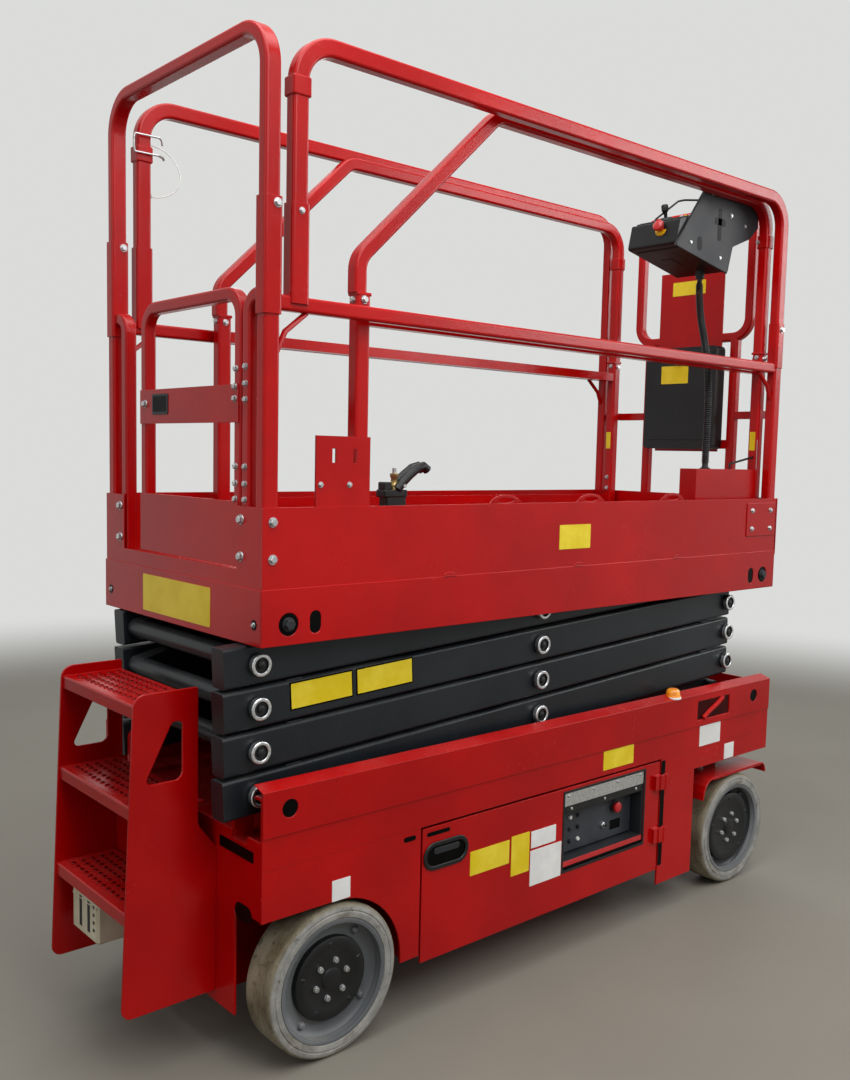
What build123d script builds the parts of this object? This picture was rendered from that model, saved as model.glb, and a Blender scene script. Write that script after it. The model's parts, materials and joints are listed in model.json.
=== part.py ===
from build123d import *
import math
import os

# A slab electric scissor lift, stowed. Millimetres, +Z up, +X towards the steered front end.
# The origin is on the floor, at the middle of the whole machine seen from above.
# "left" is +Y and "right" is -Y. Stations are distances forward of the platform's rear face.

# --- overall sizes -------------------------------------------------------------------------
platform_length = 1950.0
platform_width = 740.0
platform_bottom_z = 952.0
deck_z = 1091.0            # top of the main deck
toe_board_height = 150.0
mid_rail_top_z = 1675.0
right_rail_top_z = 2205.0
left_rail_top_z = 2234.0    # the left rail folds over the right one, so it stands higher
hoop_top_z = 2222.0
chassis_length = 1950.0
chassis_width = 758.0
chassis_top_z = 635.0
band_seam_z = 547.0        # lower edge of the chassis' upper band
ladder_reach = 225.0       # ladder behind the platform's rear face
extension_nose = 40.0      # extension's front plate ahead of the platform

# --- wheels --------------------------------------------------------------------------------
wheel_diameter = 352.0
wheel_width = 100.0
rim_diameter = 286.0
hub_diameter = 180.0
rear_axle_station = 195.0
front_axle_station = 1779.0
arch_clearance = 12.0
kingpin_inset = 134.0      # kingpin inboard of the wheel's outer face
kingpin_diameter = 50.0
kingpin_depth = 70.0
housing_bottom_z = 431.0
fender_gap = 10.0
fender_thickness = 5.0

# --- scissor stack -------------------------------------------------------------------------
levels = 4
arm_length = 1752.0        # between the end pins
level_pitch = 94.5         # stowed height of one level
bottom_pin_z = 623.0
rear_pin_station = 27.5
beam_height = 87.0
beam_width = 50.0
beam_corner = 7.0
beam_gap = 10.0            # between an outer and an inner beam
outer_beam_inset = 56.0    # outer beams' outer face inside the platform's side
right_beam_tail = 82.0     # right outer beams behind their rear pins
left_beam_tail = 32.0
boss_diameter = 46.0
boss_reach = 15.0          # boss beyond the beam's outer face
pin_diameter = 32.0
pin_clearance = 0.4        # radial, at every scissor pin
cross_tube_diameter = 42.0
roller_diameter = 44.0
roller_clearance = 0.5

# --- plates and tubes ----------------------------------------------------------------------
plate = 6.0                # chassis plates
sheet = 3.0                # platform sheets
rail_across = 38.0         # guardrail tube, square to the frame's plane
rail_deep = 32.0           # guardrail tube, in the frame's plane
rail_corner = 7.0
hoop_deep = 29.0           # hoop tube, in the hoop's plane
rail_bend = 85.0           # inside of the big bends, to the tube's centre line
socket_wall = 3.0
running_gap = 6.0          # between sliding or swinging pieces

# --- derived -------------------------------------------------------------------------------
overall_length = ladder_reach + platform_length + extension_nose
rear_x = ladder_reach - overall_length / 2        # platform's rear face
front_x = rear_x + platform_length
side_y = platform_width / 2
chassis_y = chassis_width / 2
toe_top_z = deck_z + toe_board_height
stowed_angle = math.degrees(math.asin(level_pitch / arm_length))
arm_run = math.sqrt(arm_length ** 2 - level_pitch ** 2)
outer_y = side_y - outer_beam_inset - beam_width / 2          # outer beams' middle plane
inner_y = outer_y - beam_width - beam_gap                     # inner beams' middle plane
rear_pin_x = rear_x + rear_pin_station
front_pin_x = rear_pin_x + arm_run
top_pin_z = bottom_pin_z + levels * level_pitch
wheel_radius = wheel_diameter / 2
wheel_y = chassis_y - wheel_width / 2
rear_axle_x = rear_x + rear_axle_station
front_axle_x = rear_x + front_axle_station
kingpin_y = chassis_y - kingpin_inset


def station(distance):
    """X of a point this far forward of the platform's rear face."""
    return rear_x + distance


def block(x0, x1, y0, y1, z0, z1):
    """A plain block between two corners."""
    return Pos((x0 + x1) / 2, (y0 + y1) / 2, (z0 + z1) / 2) * Box(abs(x1 - x0), abs(y1 - y0), abs(z1 - z0))


def rod(centre, diameter, length, axis=Axis.Y):
    """A round bar centred on a point, along one axis."""
    turn = {Axis.X: Rot(0, 90, 0), Axis.Y: Rot(90, 0, 0), Axis.Z: Rot(0, 0, 0)}[axis]
    return Pos(*centre) * turn * Cylinder(diameter / 2, length)


def both_sides(shape):
    """The shape and its mirror image across the machine's middle plane."""
    return shape + mirror(shape, about=Plane.XZ)


def swept_tube(points, bends, flat, across=rail_across, deep=rail_deep, corner=rail_corner):
    """A tube along points; `flat` is the normal of the plane that the points lie in."""
    path = Polyline(*points) if not bends else FilletPolyline(*points, radius=bends)
    start = Plane(origin=path @ 0, x_dir=flat, z_dir=path % 0)
    section = start * RectangleRounded(across, deep, corner)
    return sweep(section, path=path)


def beam_profile(tail, nose, cut_rear=False):
    """Side view of a scissor beam in its own frame, from its rear pin at 0 to its front pin."""
    half = beam_height / 2
    if cut_rear:
        slope = 60.0
        low = boss_diameter / 2
        outline = [(-tail, -low), (slope, -half), (arm_length - slope, -half), (arm_length + nose, -low),
                   (arm_length + nose, low), (arm_length - slope, half), (slope, half), (-tail, low)]
        return make_face(Polyline(*outline, close=True))
    body = Pos((arm_length - tail + nose) / 2, 0) * Rectangle(arm_length + tail + nose, beam_height)
    return body


def divided(pieces, *planes):
    """Solids cut on the given planes, so that what was one now meets face to face."""
    for plane in planes:
        halves = []
        for piece in pieces:
            halves += list(split(piece, bisect_by=plane, keep=Keep.BOTH).solids())
        pieces = halves
    return pieces


def cut_apart(shape, *planes):
    """Divides a weldment into simpler solids that meet face to face on the given planes."""
    return Compound(divided(list(shape.solids()), *planes))


def in_arm_frame(shape, level, rising):
    """Places a shape made along +X from its rear pin at its stowed place in the stack."""
    if rising:
        return Pos(rear_pin_x, 0, bottom_pin_z + level * level_pitch) * Rot(0, -stowed_angle, 0) * shape
    return Pos(rear_pin_x, 0, bottom_pin_z + (level + 1) * level_pitch) * Rot(0, stowed_angle, 0) * shape


def upright(face, middle_y, width):
    """Extrudes an XY sketch as an upright XZ plate of a width centred on middle_y."""
    return Pos(0, middle_y + width / 2, 0) * extrude(Rot(90, 0, 0) * face, amount=width, dir=(0, -1, 0))


def outer_arm(level, side, tail):
    """One outer beam, rising to the front, with a bored boss at each pin."""
    beam = upright(beam_profile(tail, boss_diameter / 2 - 8), outer_y, beam_width)
    beam = fillet(beam.edges().filter_by(Axis.X), beam_corner)
    boss_end = outer_y + beam_width / 2 + boss_reach
    boss_start = outer_y - beam_width / 2
    bore = pin_diameter / 2 + pin_clearance
    for along in (0, arm_length / 2, arm_length):
        middle = (boss_start + boss_end) / 2
        beam += rod((along, middle, 0), boss_diameter, boss_end - boss_start)
    for along in (0, arm_length / 2, arm_length):
        beam -= rod((along, outer_y, 0), 2 * bore, 4 * beam_width)
    if level == levels - 1:
        # the top beams' front pins carry the rollers that run in the platform's tracks
        reach = roller_y_top + roller_width / 2
        start = outer_y - beam_width / 2
        beam += rod((arm_length, (start + reach) / 2, 0), 2 * bore, reach - start)
        beam += rod((arm_length, roller_y_top, 0), roller_diameter, roller_width)
    beam = in_arm_frame(beam, level, True)
    return beam if side > 0 else mirror(beam, about=Plane.XZ)


def outer_arms(level):
    """The pair of outer beams of one level; the right one's tail carries on behind its pin."""
    return outer_arm(level, -1, right_beam_tail) + outer_arm(level, 1, left_beam_tail)


roller_width = 24.0
roller_y_top = outer_y + beam_width / 2 + boss_reach + 2 + roller_width / 2
roller_y_low = inner_y + beam_width / 2 + 6 + roller_width / 2
lug_thickness = 12.0
cylinder_lug_along = arm_length / 2 + 150.0       # rod lug on the lowest inner arms, from the rear pin
cylinder_foot_station = rear_pin_station + 550.0
cylinder_foot_z = bottom_pin_z - 250.0
barrel_diameter = 90.0
rod_diameter = 50.0
cylinder_pin_diameter = 30.0
eye_diameter = 60.0
eye_width = 50.0
lug_gap = 4.0
lug_tube_ahead = 50.0
lug_tube_above = 22.0
lug_tube_diameter = 38.0


def inner_arms(level):
    """The inner pair of one level, falling to the front, joined by cross tubes with pin ends."""
    beam = upright(beam_profile(8, 8, cut_rear=True), inner_y, beam_width)
    arms = both_sides(beam)
    pin_end = outer_y + beam_width / 2 + boss_reach - 4
    for along in (0, arm_length / 2, arm_length):
        arms += rod((along, 0, 0), cross_tube_diameter, 2 * inner_y)
        arms += rod((along, 0, 0), boss_diameter, 2 * (inner_y + beam_width / 2 + beam_gap / 2))
        last = along == arm_length and level == 0
        if not last:
            arms += rod((along, 0, 0), pin_diameter, 2 * pin_end)
    if level == 0:
        # rollers on the lowest front pins, which run on the chassis' ledges
        arms += both_sides(rod((arm_length, roller_y_low, 0), roller_diameter, roller_width))
        arms += rod((arm_length, 0, 0), pin_diameter, 2 * (roller_y_low + roller_width / 2))
        # a cross tube ahead of the cylinder's eye carries its two lugs
        arms += rod((cylinder_lug_along + lug_tube_ahead, 0, lug_tube_above), lug_tube_diameter, 2 * inner_y)
        lug_y = eye_width / 2 + lug_gap + lug_thickness / 2
        lug = rod((cylinder_lug_along, lug_y, 0), eye_diameter, lug_thickness)
        lug += block(cylinder_lug_along, cylinder_lug_along + lug_tube_ahead, lug_y - lug_thickness / 2,
                     lug_y + lug_thickness / 2, -eye_diameter / 2, eye_diameter / 2)
        arms += both_sides(lug)
    side = inner_y - beam_width / 2
    return in_arm_frame(cut_apart(arms, Plane.XZ.offset(side), Plane.XZ.offset(-side)), level, False)


def cylinder_ends():
    """Foot pin and rod-eye pin of the stowed cylinder, as (x, z) pairs."""
    foot = (station(cylinder_foot_station), cylinder_foot_z)
    sink = math.radians(stowed_angle)
    eye = (rear_pin_x + cylinder_lug_along * math.cos(sink),
           bottom_pin_z + level_pitch - cylinder_lug_along * math.sin(sink))
    return foot, eye


def cylinder_frame(shape):
    """Places a shape made along +X from the foot pin on the stowed cylinder's line."""
    foot, eye = cylinder_ends()
    rise = math.degrees(math.atan2(eye[1] - foot[1], eye[0] - foot[0]))
    return Pos(foot[0], 0, foot[1]) * Rot(0, -rise, 0) * shape


def cylinder_length():
    foot, eye = cylinder_ends()
    return math.hypot(eye[0] - foot[0], eye[1] - foot[1])


barrel_length = 470.0
rod_bore_clearance = 0.3
cylinder_stroke = 252.0


def cylinder_barrel():
    """Barrel with its foot eye, hollow for the rod."""
    body = rod((barrel_length / 2 + 20, 0, 0), barrel_diameter, barrel_length - 40, Axis.X)
    body += rod((0, 0, 0), eye_diameter + 8, eye_width)
    body += block(0, 60, -eye_width / 2, eye_width / 2, -28, 28)
    hollow = rod_diameter + 2 * rod_bore_clearance
    body -= rod((80 + barrel_length / 2, 0, 0), hollow, barrel_length, Axis.X)
    body -= rod((0, 0, 0), cylinder_pin_diameter + 2 * pin_clearance, 2 * eye_width)
    return cylinder_frame(body)


def cylinder_rod():
    """Rod with the eye that meets the arm's lugs; the eye hangs free of its pin."""
    length = cylinder_length()
    start = 100.0
    body = rod(((start + length - 20) / 2, 0, 0), rod_diameter, length - 20 - start, Axis.X)
    body += rod((length, 0, 0), eye_diameter - 4, eye_width - 4)
    body -= rod((length, 0, 0), cylinder_pin_diameter, 2 * eye_width)
    return cylinder_frame(body)


# --- chassis -------------------------------------------------------------------------------
well_floor_z = 520.0
spine_y = 156.0            # outer face of the spine's side plates
front_spine_y = 80.0
spine_bottom_z = 118.0
door_bottom_z = 140.0
door_top_z = 470.0
door_rear_station = 445.0
door_front_station = 1370.0
hinge_out = 11.0           # tray hinge's axis outside the chassis' side
hinge_ahead = 14.0         # and ahead of the door's front edge
hinge_diameter = 12.0
column_front_station = 1545.0
column_bottom_z = 92.0
rear_side_bottom_z = 160.0
front_band_bottom_z = 415.0
rear_wall_top_z = 537.0
flange_width = 30.0
ledge_rear_station = 1120.0
slot_half_width = 60.0
lash_diameter = 22.0       # tie-down holes in the chassis' side bands
lash_rear_station = 70.0
lash_front_station = 1862.0
lash_z = 605.0


front_spine_z = 210.0


def chassis_frame():
    """Welded plates: side bands, well floor, spine, end walls, wheel arches and hinge columns."""
    y_in = chassis_y - plate
    x_end = rear_x + chassis_length
    bulkhead_x = station(column_front_station) - 40
    band = block(rear_x, x_end, y_in, chassis_y, door_top_z + running_gap, chassis_top_z)
    band += block(rear_x, x_end, chassis_y - flange_width, chassis_y, chassis_top_z - plate, chassis_top_z)
    band += block(station(column_front_station), x_end, y_in, chassis_y, front_band_bottom_z, door_top_z + plate + 2)
    rear_side = block(rear_x, station(door_rear_station - running_gap), y_in, chassis_y,
                      rear_side_bottom_z, door_top_z + plate + 2)
    arch_r = wheel_radius + arch_clearance
    arch = rod((rear_axle_x, chassis_y, wheel_radius), 2 * arch_r, 4 * plate)
    arch += block(rear_x - 1, rear_axle_x, y_in - plate, chassis_y + plate, 0, wheel_radius + arch_r)
    arch += block(rear_axle_x - 10, rear_axle_x + arch_r, y_in - plate, chassis_y + plate, 0, wheel_radius)
    rear_side -= arch
    column = block(station(door_front_station + running_gap), station(column_front_station), y_in, chassis_y,
                   column_bottom_z, door_top_z + plate + 2)
    half = band + rear_side + column
    # bulkheads behind the rear wheels and ahead of the trays
    half += block(station(400), station(400) + plate, spine_y - plate, y_in, rear_side_bottom_z, well_floor_z)
    half += block(bulkhead_x - plate, bulkhead_x, front_spine_y, y_in + plate / 2, column_bottom_z, well_floor_z)
    half += block(rear_x, bulkhead_x, spine_y - plate, spine_y, spine_bottom_z, well_floor_z)
    half += block(bulkhead_x - plate, x_end, front_spine_y - plate, front_spine_y, front_spine_z, well_floor_z)
    # inner wheel walls beside the rear wheels reach down to the axle
    half += block(station(ledge_rear_station), station(1850), roller_y_low - roller_width / 2, y_in,
                  bottom_pin_z - roller_diameter / 2 - roller_clearance - plate,
                  bottom_pin_z - roller_diameter / 2 - roller_clearance)
    half += block(station(ledge_rear_station), station(1850), y_in - plate, y_in + plate / 2,
                  well_floor_z - plate, bottom_pin_z - roller_diameter / 2 - roller_clearance)
    # front kingpin housing under the well floor
    housing = rod((front_axle_x, kingpin_y, (well_floor_z + housing_bottom_z) / 2), kingpin_diameter + 24,
                  well_floor_z - housing_bottom_z, Axis.Z)
    housing -= rod((front_axle_x, kingpin_y, housing_bottom_z), kingpin_diameter + 2 * axle_clearance,
                   2 * kingpin_depth + 4, Axis.Z)
    half += housing
    frame = both_sides(half)
    frame += block(rear_x, x_end, -y_in, y_in, well_floor_z - plate, well_floor_z)
    slot_rear = station(cylinder_foot_station) - barrel_diameter / 2 - 10
    slot_front = station(cylinder_foot_station) + 400
    frame -= block(slot_rear, slot_front, -slot_half_width, slot_half_width, well_floor_z - 2 * plate, well_floor_z + 1)
    frame += block(rear_x, bulkhead_x, -spine_y, spine_y, spine_bottom_z, spine_bottom_z + plate)
    frame += block(bulkhead_x - plate, bulkhead_x, -spine_y, spine_y, spine_bottom_z, well_floor_z)
    frame += block(bulkhead_x - plate, x_end, -front_spine_y, front_spine_y, front_spine_z, front_spine_z + plate)
    frame += block(x_end - plate, x_end, -front_spine_y, front_spine_y, front_spine_z, front_band_bottom_z + plate)
    frame += block(rear_x, rear_x + plate, -(wheel_y - wheel_width / 2 - 10), wheel_y - wheel_width / 2 - 10,
                   spine_bottom_z, rear_wall_top_z)
    frame += block(rear_x, rear_x + plate, -y_in, y_in, 366, rear_wall_top_z)
    frame += block(x_end - plate, x_end, -y_in, y_in, front_band_bottom_z, chassis_top_z)
    # pin lugs for the lowest outer beams' rear pins, and the cylinder's foot lugs
    lug_y = outer_y - beam_width / 2 - 2 - lug_thickness / 2
    pin_end = outer_y + beam_width / 2 + boss_reach - 4
    pin_start = lug_y - lug_thickness / 2
    lug = block(rear_pin_x - 24, rear_pin_x + 24, pin_start, pin_start + lug_thickness, well_floor_z, bottom_pin_z)
    lug += rod((rear_pin_x, lug_y, bottom_pin_z), 48, lug_thickness)
    lug += rod((rear_pin_x, (pin_start + pin_end) / 2, bottom_pin_z), pin_diameter, pin_end - pin_start)
    foot, _ = cylinder_ends()
    foot_lug = rod((foot[0], eye_width / 2 + 2 + lug_thickness / 2, foot[1]), eye_diameter, lug_thickness)
    foot_lug += block(foot[0] - 30, foot[0] + 30, eye_width / 2 + 2, eye_width / 2 + 2 + lug_thickness,
                      spine_bottom_z + plate, foot[1])
    foot_lug += rod((foot[0], (eye_width / 2 + 2 + lug_thickness) / 2, foot[1]), cylinder_pin_diameter,
                    eye_width / 2 + 2 + lug_thickness)
    frame += both_sides(lug) + both_sides(foot_lug)
    # notches in the rear wall for the right-hand beams' tails
    frame -= block(rear_x - 1, rear_x + plate + 1, -outer_y - beam_width / 2 - running_gap,
                   -outer_y + beam_width / 2 + running_gap, well_floor_z, rear_wall_top_z + 1)
    for x in (station(lash_rear_station), station(lash_front_station)):
        frame -= rod((x, 0, lash_z), lash_diameter, 2 * chassis_width)
    plates = divided(list(frame.solids()), Plane.XZ.offset(-y_in), Plane.XZ.offset(y_in))
    sides = [plate_solid for plate_solid in plates if abs(plate_solid.center().Y) > y_in]
    middle = [plate_solid for plate_solid in plates if abs(plate_solid.center().Y) <= y_in]
    sides = divided(sides, Plane.XY.offset(door_top_z + running_gap))
    middle = divided(middle, Plane.XY.offset(well_floor_z), Plane.XY.offset(well_floor_z - plate))
    low = [solid for solid in middle if solid.center().Z < well_floor_z - plate]
    high = [solid for solid in middle if solid.center().Z >= well_floor_z - plate]
    low = divided(low, Plane.YZ.offset(bulkhead_x), Plane.YZ.offset(rear_x + plate))
    return Compound(sides + high + low)


def rear_axles():
    """Stub axles that carry the rear wheels, each from the spine out into the wheel's hub."""
    inner = spine_y
    outer = wheel_y - wheel_width / 2 - 14
    stub = block(rear_axle_x - 32, rear_axle_x + 32, inner, outer, wheel_radius - 32, wheel_radius + 32)
    stub += rod((rear_axle_x, (outer + wheel_y + 10) / 2, wheel_radius), axle_diameter, wheel_y + 10 - outer)
    return both_sides(stub)


axle_diameter = 44.0
axle_clearance = 0.3


def tyre(axle_x, side):
    """Solid non-marking tyre, slightly crowned at its shoulders."""
    ring = rod((axle_x, side * wheel_y, wheel_radius), wheel_diameter, wheel_width)
    ring = fillet(ring.edges().filter_by(GeomType.CIRCLE), 8)
    return ring - rod((axle_x, side * wheel_y, wheel_radius), rim_diameter, 2 * wheel_width)


def rim(axle_x, side):
    """Deep rim: a barrel, a set-back disc and a hub with the axle's bore."""
    half = wheel_width / 2
    barrel = rod((0, 0, 0), rim_diameter, wheel_width - 6)
    barrel -= rod((0, half, 0), rim_diameter - 22, wheel_width - 6 - 24)
    barrel -= rod((0, -half, 0), rim_diameter - 22, 30)
    barrel += rod((0, 12, 0), hub_diameter, 36)
    barrel -= rod((0, -half, 0), axle_diameter + 2 * axle_clearance, 2 * (half + 12))
    if side < 0:
        barrel = Rot(0, 0, 180) * barrel
    return Pos(axle_x, side * wheel_y, wheel_radius) * barrel


def knuckle(side):
    """Steering knuckle: kingpin, top plate, upright with the stub axle, and the wheel's fender."""
    top = housing_bottom_z - running_gap
    inner_face = wheel_y - wheel_width / 2 - 14
    body = rod((front_axle_x, kingpin_y, top - 5), kingpin_diameter + 24, 10, Axis.Z)
    body += rod((front_axle_x, kingpin_y, (top + housing_bottom_z + kingpin_depth) / 2), kingpin_diameter,
                kingpin_depth + running_gap, Axis.Z)
    body += block(front_axle_x - 42, front_axle_x + 42, kingpin_y - 20, inner_face, wheel_radius - 50, top - 2)
    body += rod((front_axle_x, (inner_face + wheel_y + 10) / 2, wheel_radius), axle_diameter,
                wheel_y + 10 - inner_face)
    fender_z = wheel_diameter + fender_gap
    fender = block(front_axle_x - 125, front_axle_x + 150, inner_face - 4, chassis_y, fender_z,
                   fender_z + fender_thickness)
    fender += block(front_axle_x - 42, front_axle_x + 42, inner_face - 10, inner_face + 10,
                    fender_z, top - 12)
    body += fender
    return body if side > 0 else mirror(body, about=Plane.XZ)


# --- swing-out trays -----------------------------------------------------------------------
tray_depth = 200.0
tray_rear_station = 478.0
tray_wall = 3.0
window_rear_station = 948.0
window_front_station = 1300.0
window_top_z = 458.0
window_bottom_z = 238.0
window_depth = 60.0


def tray(side):
    """Door panel with the tray that it carries, open at the top, and its two hinge knuckles."""
    y_out = chassis_y
    x0, x1 = station(door_rear_station), station(door_front_station)
    panel = block(x0, x1, y_out - plate, y_out, door_bottom_z, door_top_z)
    tray_x0 = station(tray_rear_station)
    y_in = y_out - tray_depth
    floor = block(tray_x0, x1, y_in, y_out - plate / 2, door_bottom_z, door_bottom_z + tray_wall)
    back = block(tray_x0, x1, y_in, y_in + tray_wall, door_bottom_z, door_bottom_z + 150)
    ends = block(tray_x0, tray_x0 + tray_wall, y_in, y_out - plate / 2, door_bottom_z, door_bottom_z + 150)
    ends += block(x1 - tray_wall, x1, y_in, y_out - plate / 2, door_bottom_z, door_top_z)
    body = panel + floor + back + ends
    body -= block(station(window_rear_station), station(window_front_station), y_out - plate - 1, y_out + 1,
                  window_bottom_z, window_top_z)
    for z in (door_top_z - 60, door_bottom_z + 110):
        body += rod((station(door_front_station) + hinge_ahead, y_out + hinge_out, z), hinge_diameter, 46, Axis.Z)
        body += block(x1 - 30, x1 - 2, y_out - 1, y_out + hinge_out, z - 22, z + 22)
        body += block(x1 - 10, x1 + hinge_ahead, y_out + hinge_out - 3, y_out + hinge_out + 3, z - 22, z + 22)
    body = cut_apart(body, Plane.XZ.offset(-(y_out - plate)), Plane.XZ.offset(-(y_in + tray_wall)),
                     Plane.YZ.offset(tray_x0 + tray_wall), Plane.YZ.offset(x1 - tray_wall))
    return body if side > 0 else mirror(body, about=Plane.XZ)


def ground_panel(side):
    """Recessed control panel behind the tray's window."""
    y_out = chassis_y - plate / 2
    body = block(station(window_rear_station), station(window_front_station), y_out - window_depth,
                 y_out, window_bottom_z, window_top_z)
    body -= block(station(window_rear_station) + 8, station(window_front_station) - 8, y_out - window_depth + 12,
                  y_out + 1, window_bottom_z + 26, window_top_z - 36)
    return body if side > 0 else mirror(body, about=Plane.XZ)


def tray_load(side):
    """Batteries or the power unit, as one plain block standing in the tray."""
    y_out = chassis_y - plate - 12
    x1 = station(window_rear_station) - 12
    body = block(station(tray_rear_station) + 12, x1, y_out - 165, y_out, door_bottom_z + tray_wall,
                 door_top_z - 60)
    return body if side > 0 else mirror(body, about=Plane.XZ)


# --- ladder --------------------------------------------------------------------------------
ladder_half_width = 191.0
ladder_top_z = 845.0
ladder_bottom_z = 145.0
ladder_plate = 6.0
ladder_top_reach = 195.0
ladder_front_gap = 45.0
step_depth = 150.0
step_lip = 30.0
step_heights = (822.0, 606.0, 376.0)


def ladder():
    """Two cut-out side plates and three folded steps on the chassis' rear wall."""
    outline = [(-ladder_top_reach, ladder_top_z), (-ladder_front_gap, ladder_top_z),
               (-ladder_front_gap, rear_wall_top_z), (0, rear_wall_top_z - 60), (0, ladder_bottom_z),
               (-ladder_reach, ladder_bottom_z)]
    face = make_face(Polyline(*outline, close=True))
    window = [(-ladder_top_reach + 95, ladder_top_z - 62), (-ladder_front_gap - 38, ladder_top_z - 62),
              (-ladder_front_gap - 38, ladder_top_z - 180), (-ladder_top_reach + 30, ladder_top_z - 180)]
    face -= make_face(Polyline(*window, close=True))
    plate_solid = Pos(rear_x, 0, 0) * upright(face, ladder_half_width - ladder_plate / 2, ladder_plate)
    body = both_sides(plate_solid)
    lean = (ladder_reach - ladder_top_reach) / (ladder_top_z - ladder_bottom_z)
    for z in step_heights:
        back = rear_x - ladder_top_reach - lean * (ladder_top_z - z) + 4
        front = back + step_depth - 4
        tread = block(back, front, -ladder_half_width + 3, ladder_half_width - 3, z - 3, z)
        tread += block(back, back + 3, -ladder_half_width + 3, ladder_half_width - 3, z - step_lip, z)
        body += tread
    # folded back sheet between the plates, below the middle step
    body += block(rear_x - 60, rear_x - 57, -ladder_half_width + 3, ladder_half_width - 3, ladder_bottom_z + 60, 600)
    return body


def charger_box():
    """Pale connector box that hangs under the lowest step."""
    return block(rear_x - 190, rear_x - 62, 10, 150, 225, 340)


def beacons():
    """Amber lamps on the chassis' top flanges, right front and left rear."""
    lamps = None
    for x, y in ((station(1443), -chassis_y + 17), (station(500), chassis_y - 17)):
        lamp = rod((x, y, chassis_top_z + 3), 50, 6, Axis.Z) + rod((x, y, chassis_top_z + 18), 42, 26, Axis.Z)
        lamps = lamp if lamps is None else lamps + lamp
    return lamps


# --- platform ------------------------------------------------------------------------------
post_inset = 4.0
skirt_hole_station = 80.0
skirt_slot_station = 150.0
skirt_hole_diameter = 36.0
skirt_slot_width = 16.0
skirt_hole_z = 994.0


def platform_frame():
    """Skirt and toe boards as one welded tray with the deck sheet, open below."""
    x_end = front_x
    half = block(rear_x, x_end, side_y - sheet, side_y, platform_bottom_z, toe_top_z)
    # roller track inside the skirt: two flanges joined by a web
    track_in = roller_y_top - roller_width / 2
    low = top_pin_z - roller_diameter / 2 - roller_clearance
    high = top_pin_z + roller_diameter / 2 + roller_clearance
    for z in (low - 5, high):
        half += block(station(1120), station(1850), track_in, side_y - sheet / 2, z, z + 5)
    frame = both_sides(half)
    frame += block(rear_x, x_end, -side_y + sheet / 2, side_y - sheet / 2, deck_z - sheet, deck_z)
    frame += block(rear_x, rear_x + sheet, -side_y + sheet / 2, side_y - sheet / 2, platform_bottom_z, deck_z + 16)
    frame += block(x_end - sheet, x_end, -side_y + sheet / 2, side_y - sheet / 2, platform_bottom_z, deck_z)
    corner_width = 100.0
    corner = block(rear_x, rear_x + sheet, side_y - corner_width, side_y, deck_z, toe_top_z)
    frame += both_sides(corner)
    # rear pivot brackets for the top inner beams
    bracket_y = inner_y + beam_width / 2 + beam_gap / 2 + 2 + lug_thickness / 2
    bracket = block(rear_pin_x - 22, rear_pin_x + 34, bracket_y - lug_thickness / 2, bracket_y + lug_thickness / 2,
                    top_pin_z - 30, deck_z - sheet / 2)
    bracket -= rod((rear_pin_x, bracket_y, top_pin_z), pin_diameter + 2 * pin_clearance, 2 * lug_thickness)
    frame += both_sides(bracket)
    # round and oblong holes through both skirts, near their ends
    for x in (station(skirt_hole_station), station(platform_length - skirt_hole_station)):
        frame -= rod((x, 0, skirt_hole_z), skirt_hole_diameter, 2 * platform_width)
    for x in (station(skirt_slot_station), station(platform_length - skirt_slot_station)):
        frame -= block(x - skirt_slot_width / 2, x + skirt_slot_width / 2, -platform_width, platform_width,
                       skirt_hole_z - skirt_hole_diameter / 2, skirt_hole_z + skirt_hole_diameter / 2)
    return cut_apart(frame, Plane.XZ.offset(-side_y + sheet), Plane.XZ.offset(side_y - sheet),
                     Plane.YZ.offset(rear_x + sheet), Plane.YZ.offset(x_end - sheet))


post_x = rear_x + post_inset + rail_across / 2
post_y = side_y - post_inset - rail_deep / 2
front_post_x = front_x - rail_across / 2
stub_y = side_y - 83.0
gate_hinge_y = -(stub_y - 15 - 2.5)
stub_tube = 30.0
socket_top_z = 1866.0
seam_z = 1633.0
side_pivot_z = 1766.0
side_socket_top_z = 1862.0


def rail_posts():
    """Fixed lower guardrail of the platform: corner posts, stub posts at the gate and mid rails."""
    z0 = deck_z
    posts = swept_tube([(post_x, post_y, z0), (post_x, post_y, seam_z)], 0, (1, 0, 0))
    posts += swept_tube([(post_x, post_y, seam_z), (post_x, post_y, socket_top_z)], 0, (1, 0, 0),
                        rail_across + 2 * socket_wall, rail_deep + 2 * socket_wall)
    stub = swept_tube([(post_x, stub_y, z0), (post_x, stub_y, mid_rail_top_z), (post_x, post_y, mid_rail_top_z)],
                      36, (1, 0, 0), stub_tube, stub_tube)
    # the gate's hinge knuckles on the right stub post, above and below the gate's own
    pin_x = post_x + gate_tube / 2 + gate_hinge_ahead
    leaves = None
    for z in (1300, 1495):
        for end in (z - 28, z + 28):
            leaf = rod((pin_x, gate_hinge_y, end), gate_hinge_diameter, 18, Axis.Z)
            leaf += block(post_x + 2, pin_x + 2, -stub_y, gate_hinge_y, end - 9, end + 9)
            leaves = leaf if leaves is None else leaves + leaf
    mid_z = mid_rail_top_z - rail_deep / 2
    mid = swept_tube([(post_x + 10, post_y, mid_z), (front_post_x, post_y, mid_z)], 0, (0, 1, 0), 26, rail_deep)
    front = straight_post(front_post_x, post_y, z0, mid_z)
    front += straight_post(front_post_x, post_y, mid_z, front_socket_top_z, rail_across, rail_deep + 2 * socket_wall)
    rear_socket = straight_post(side_leg_x, post_y, mid_z, side_socket_top_z, rail_across + 2 * socket_wall,
                                rail_deep + 2 * socket_wall)
    return both_sides(posts + stub + mid + front + rear_socket) + leaves


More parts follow.
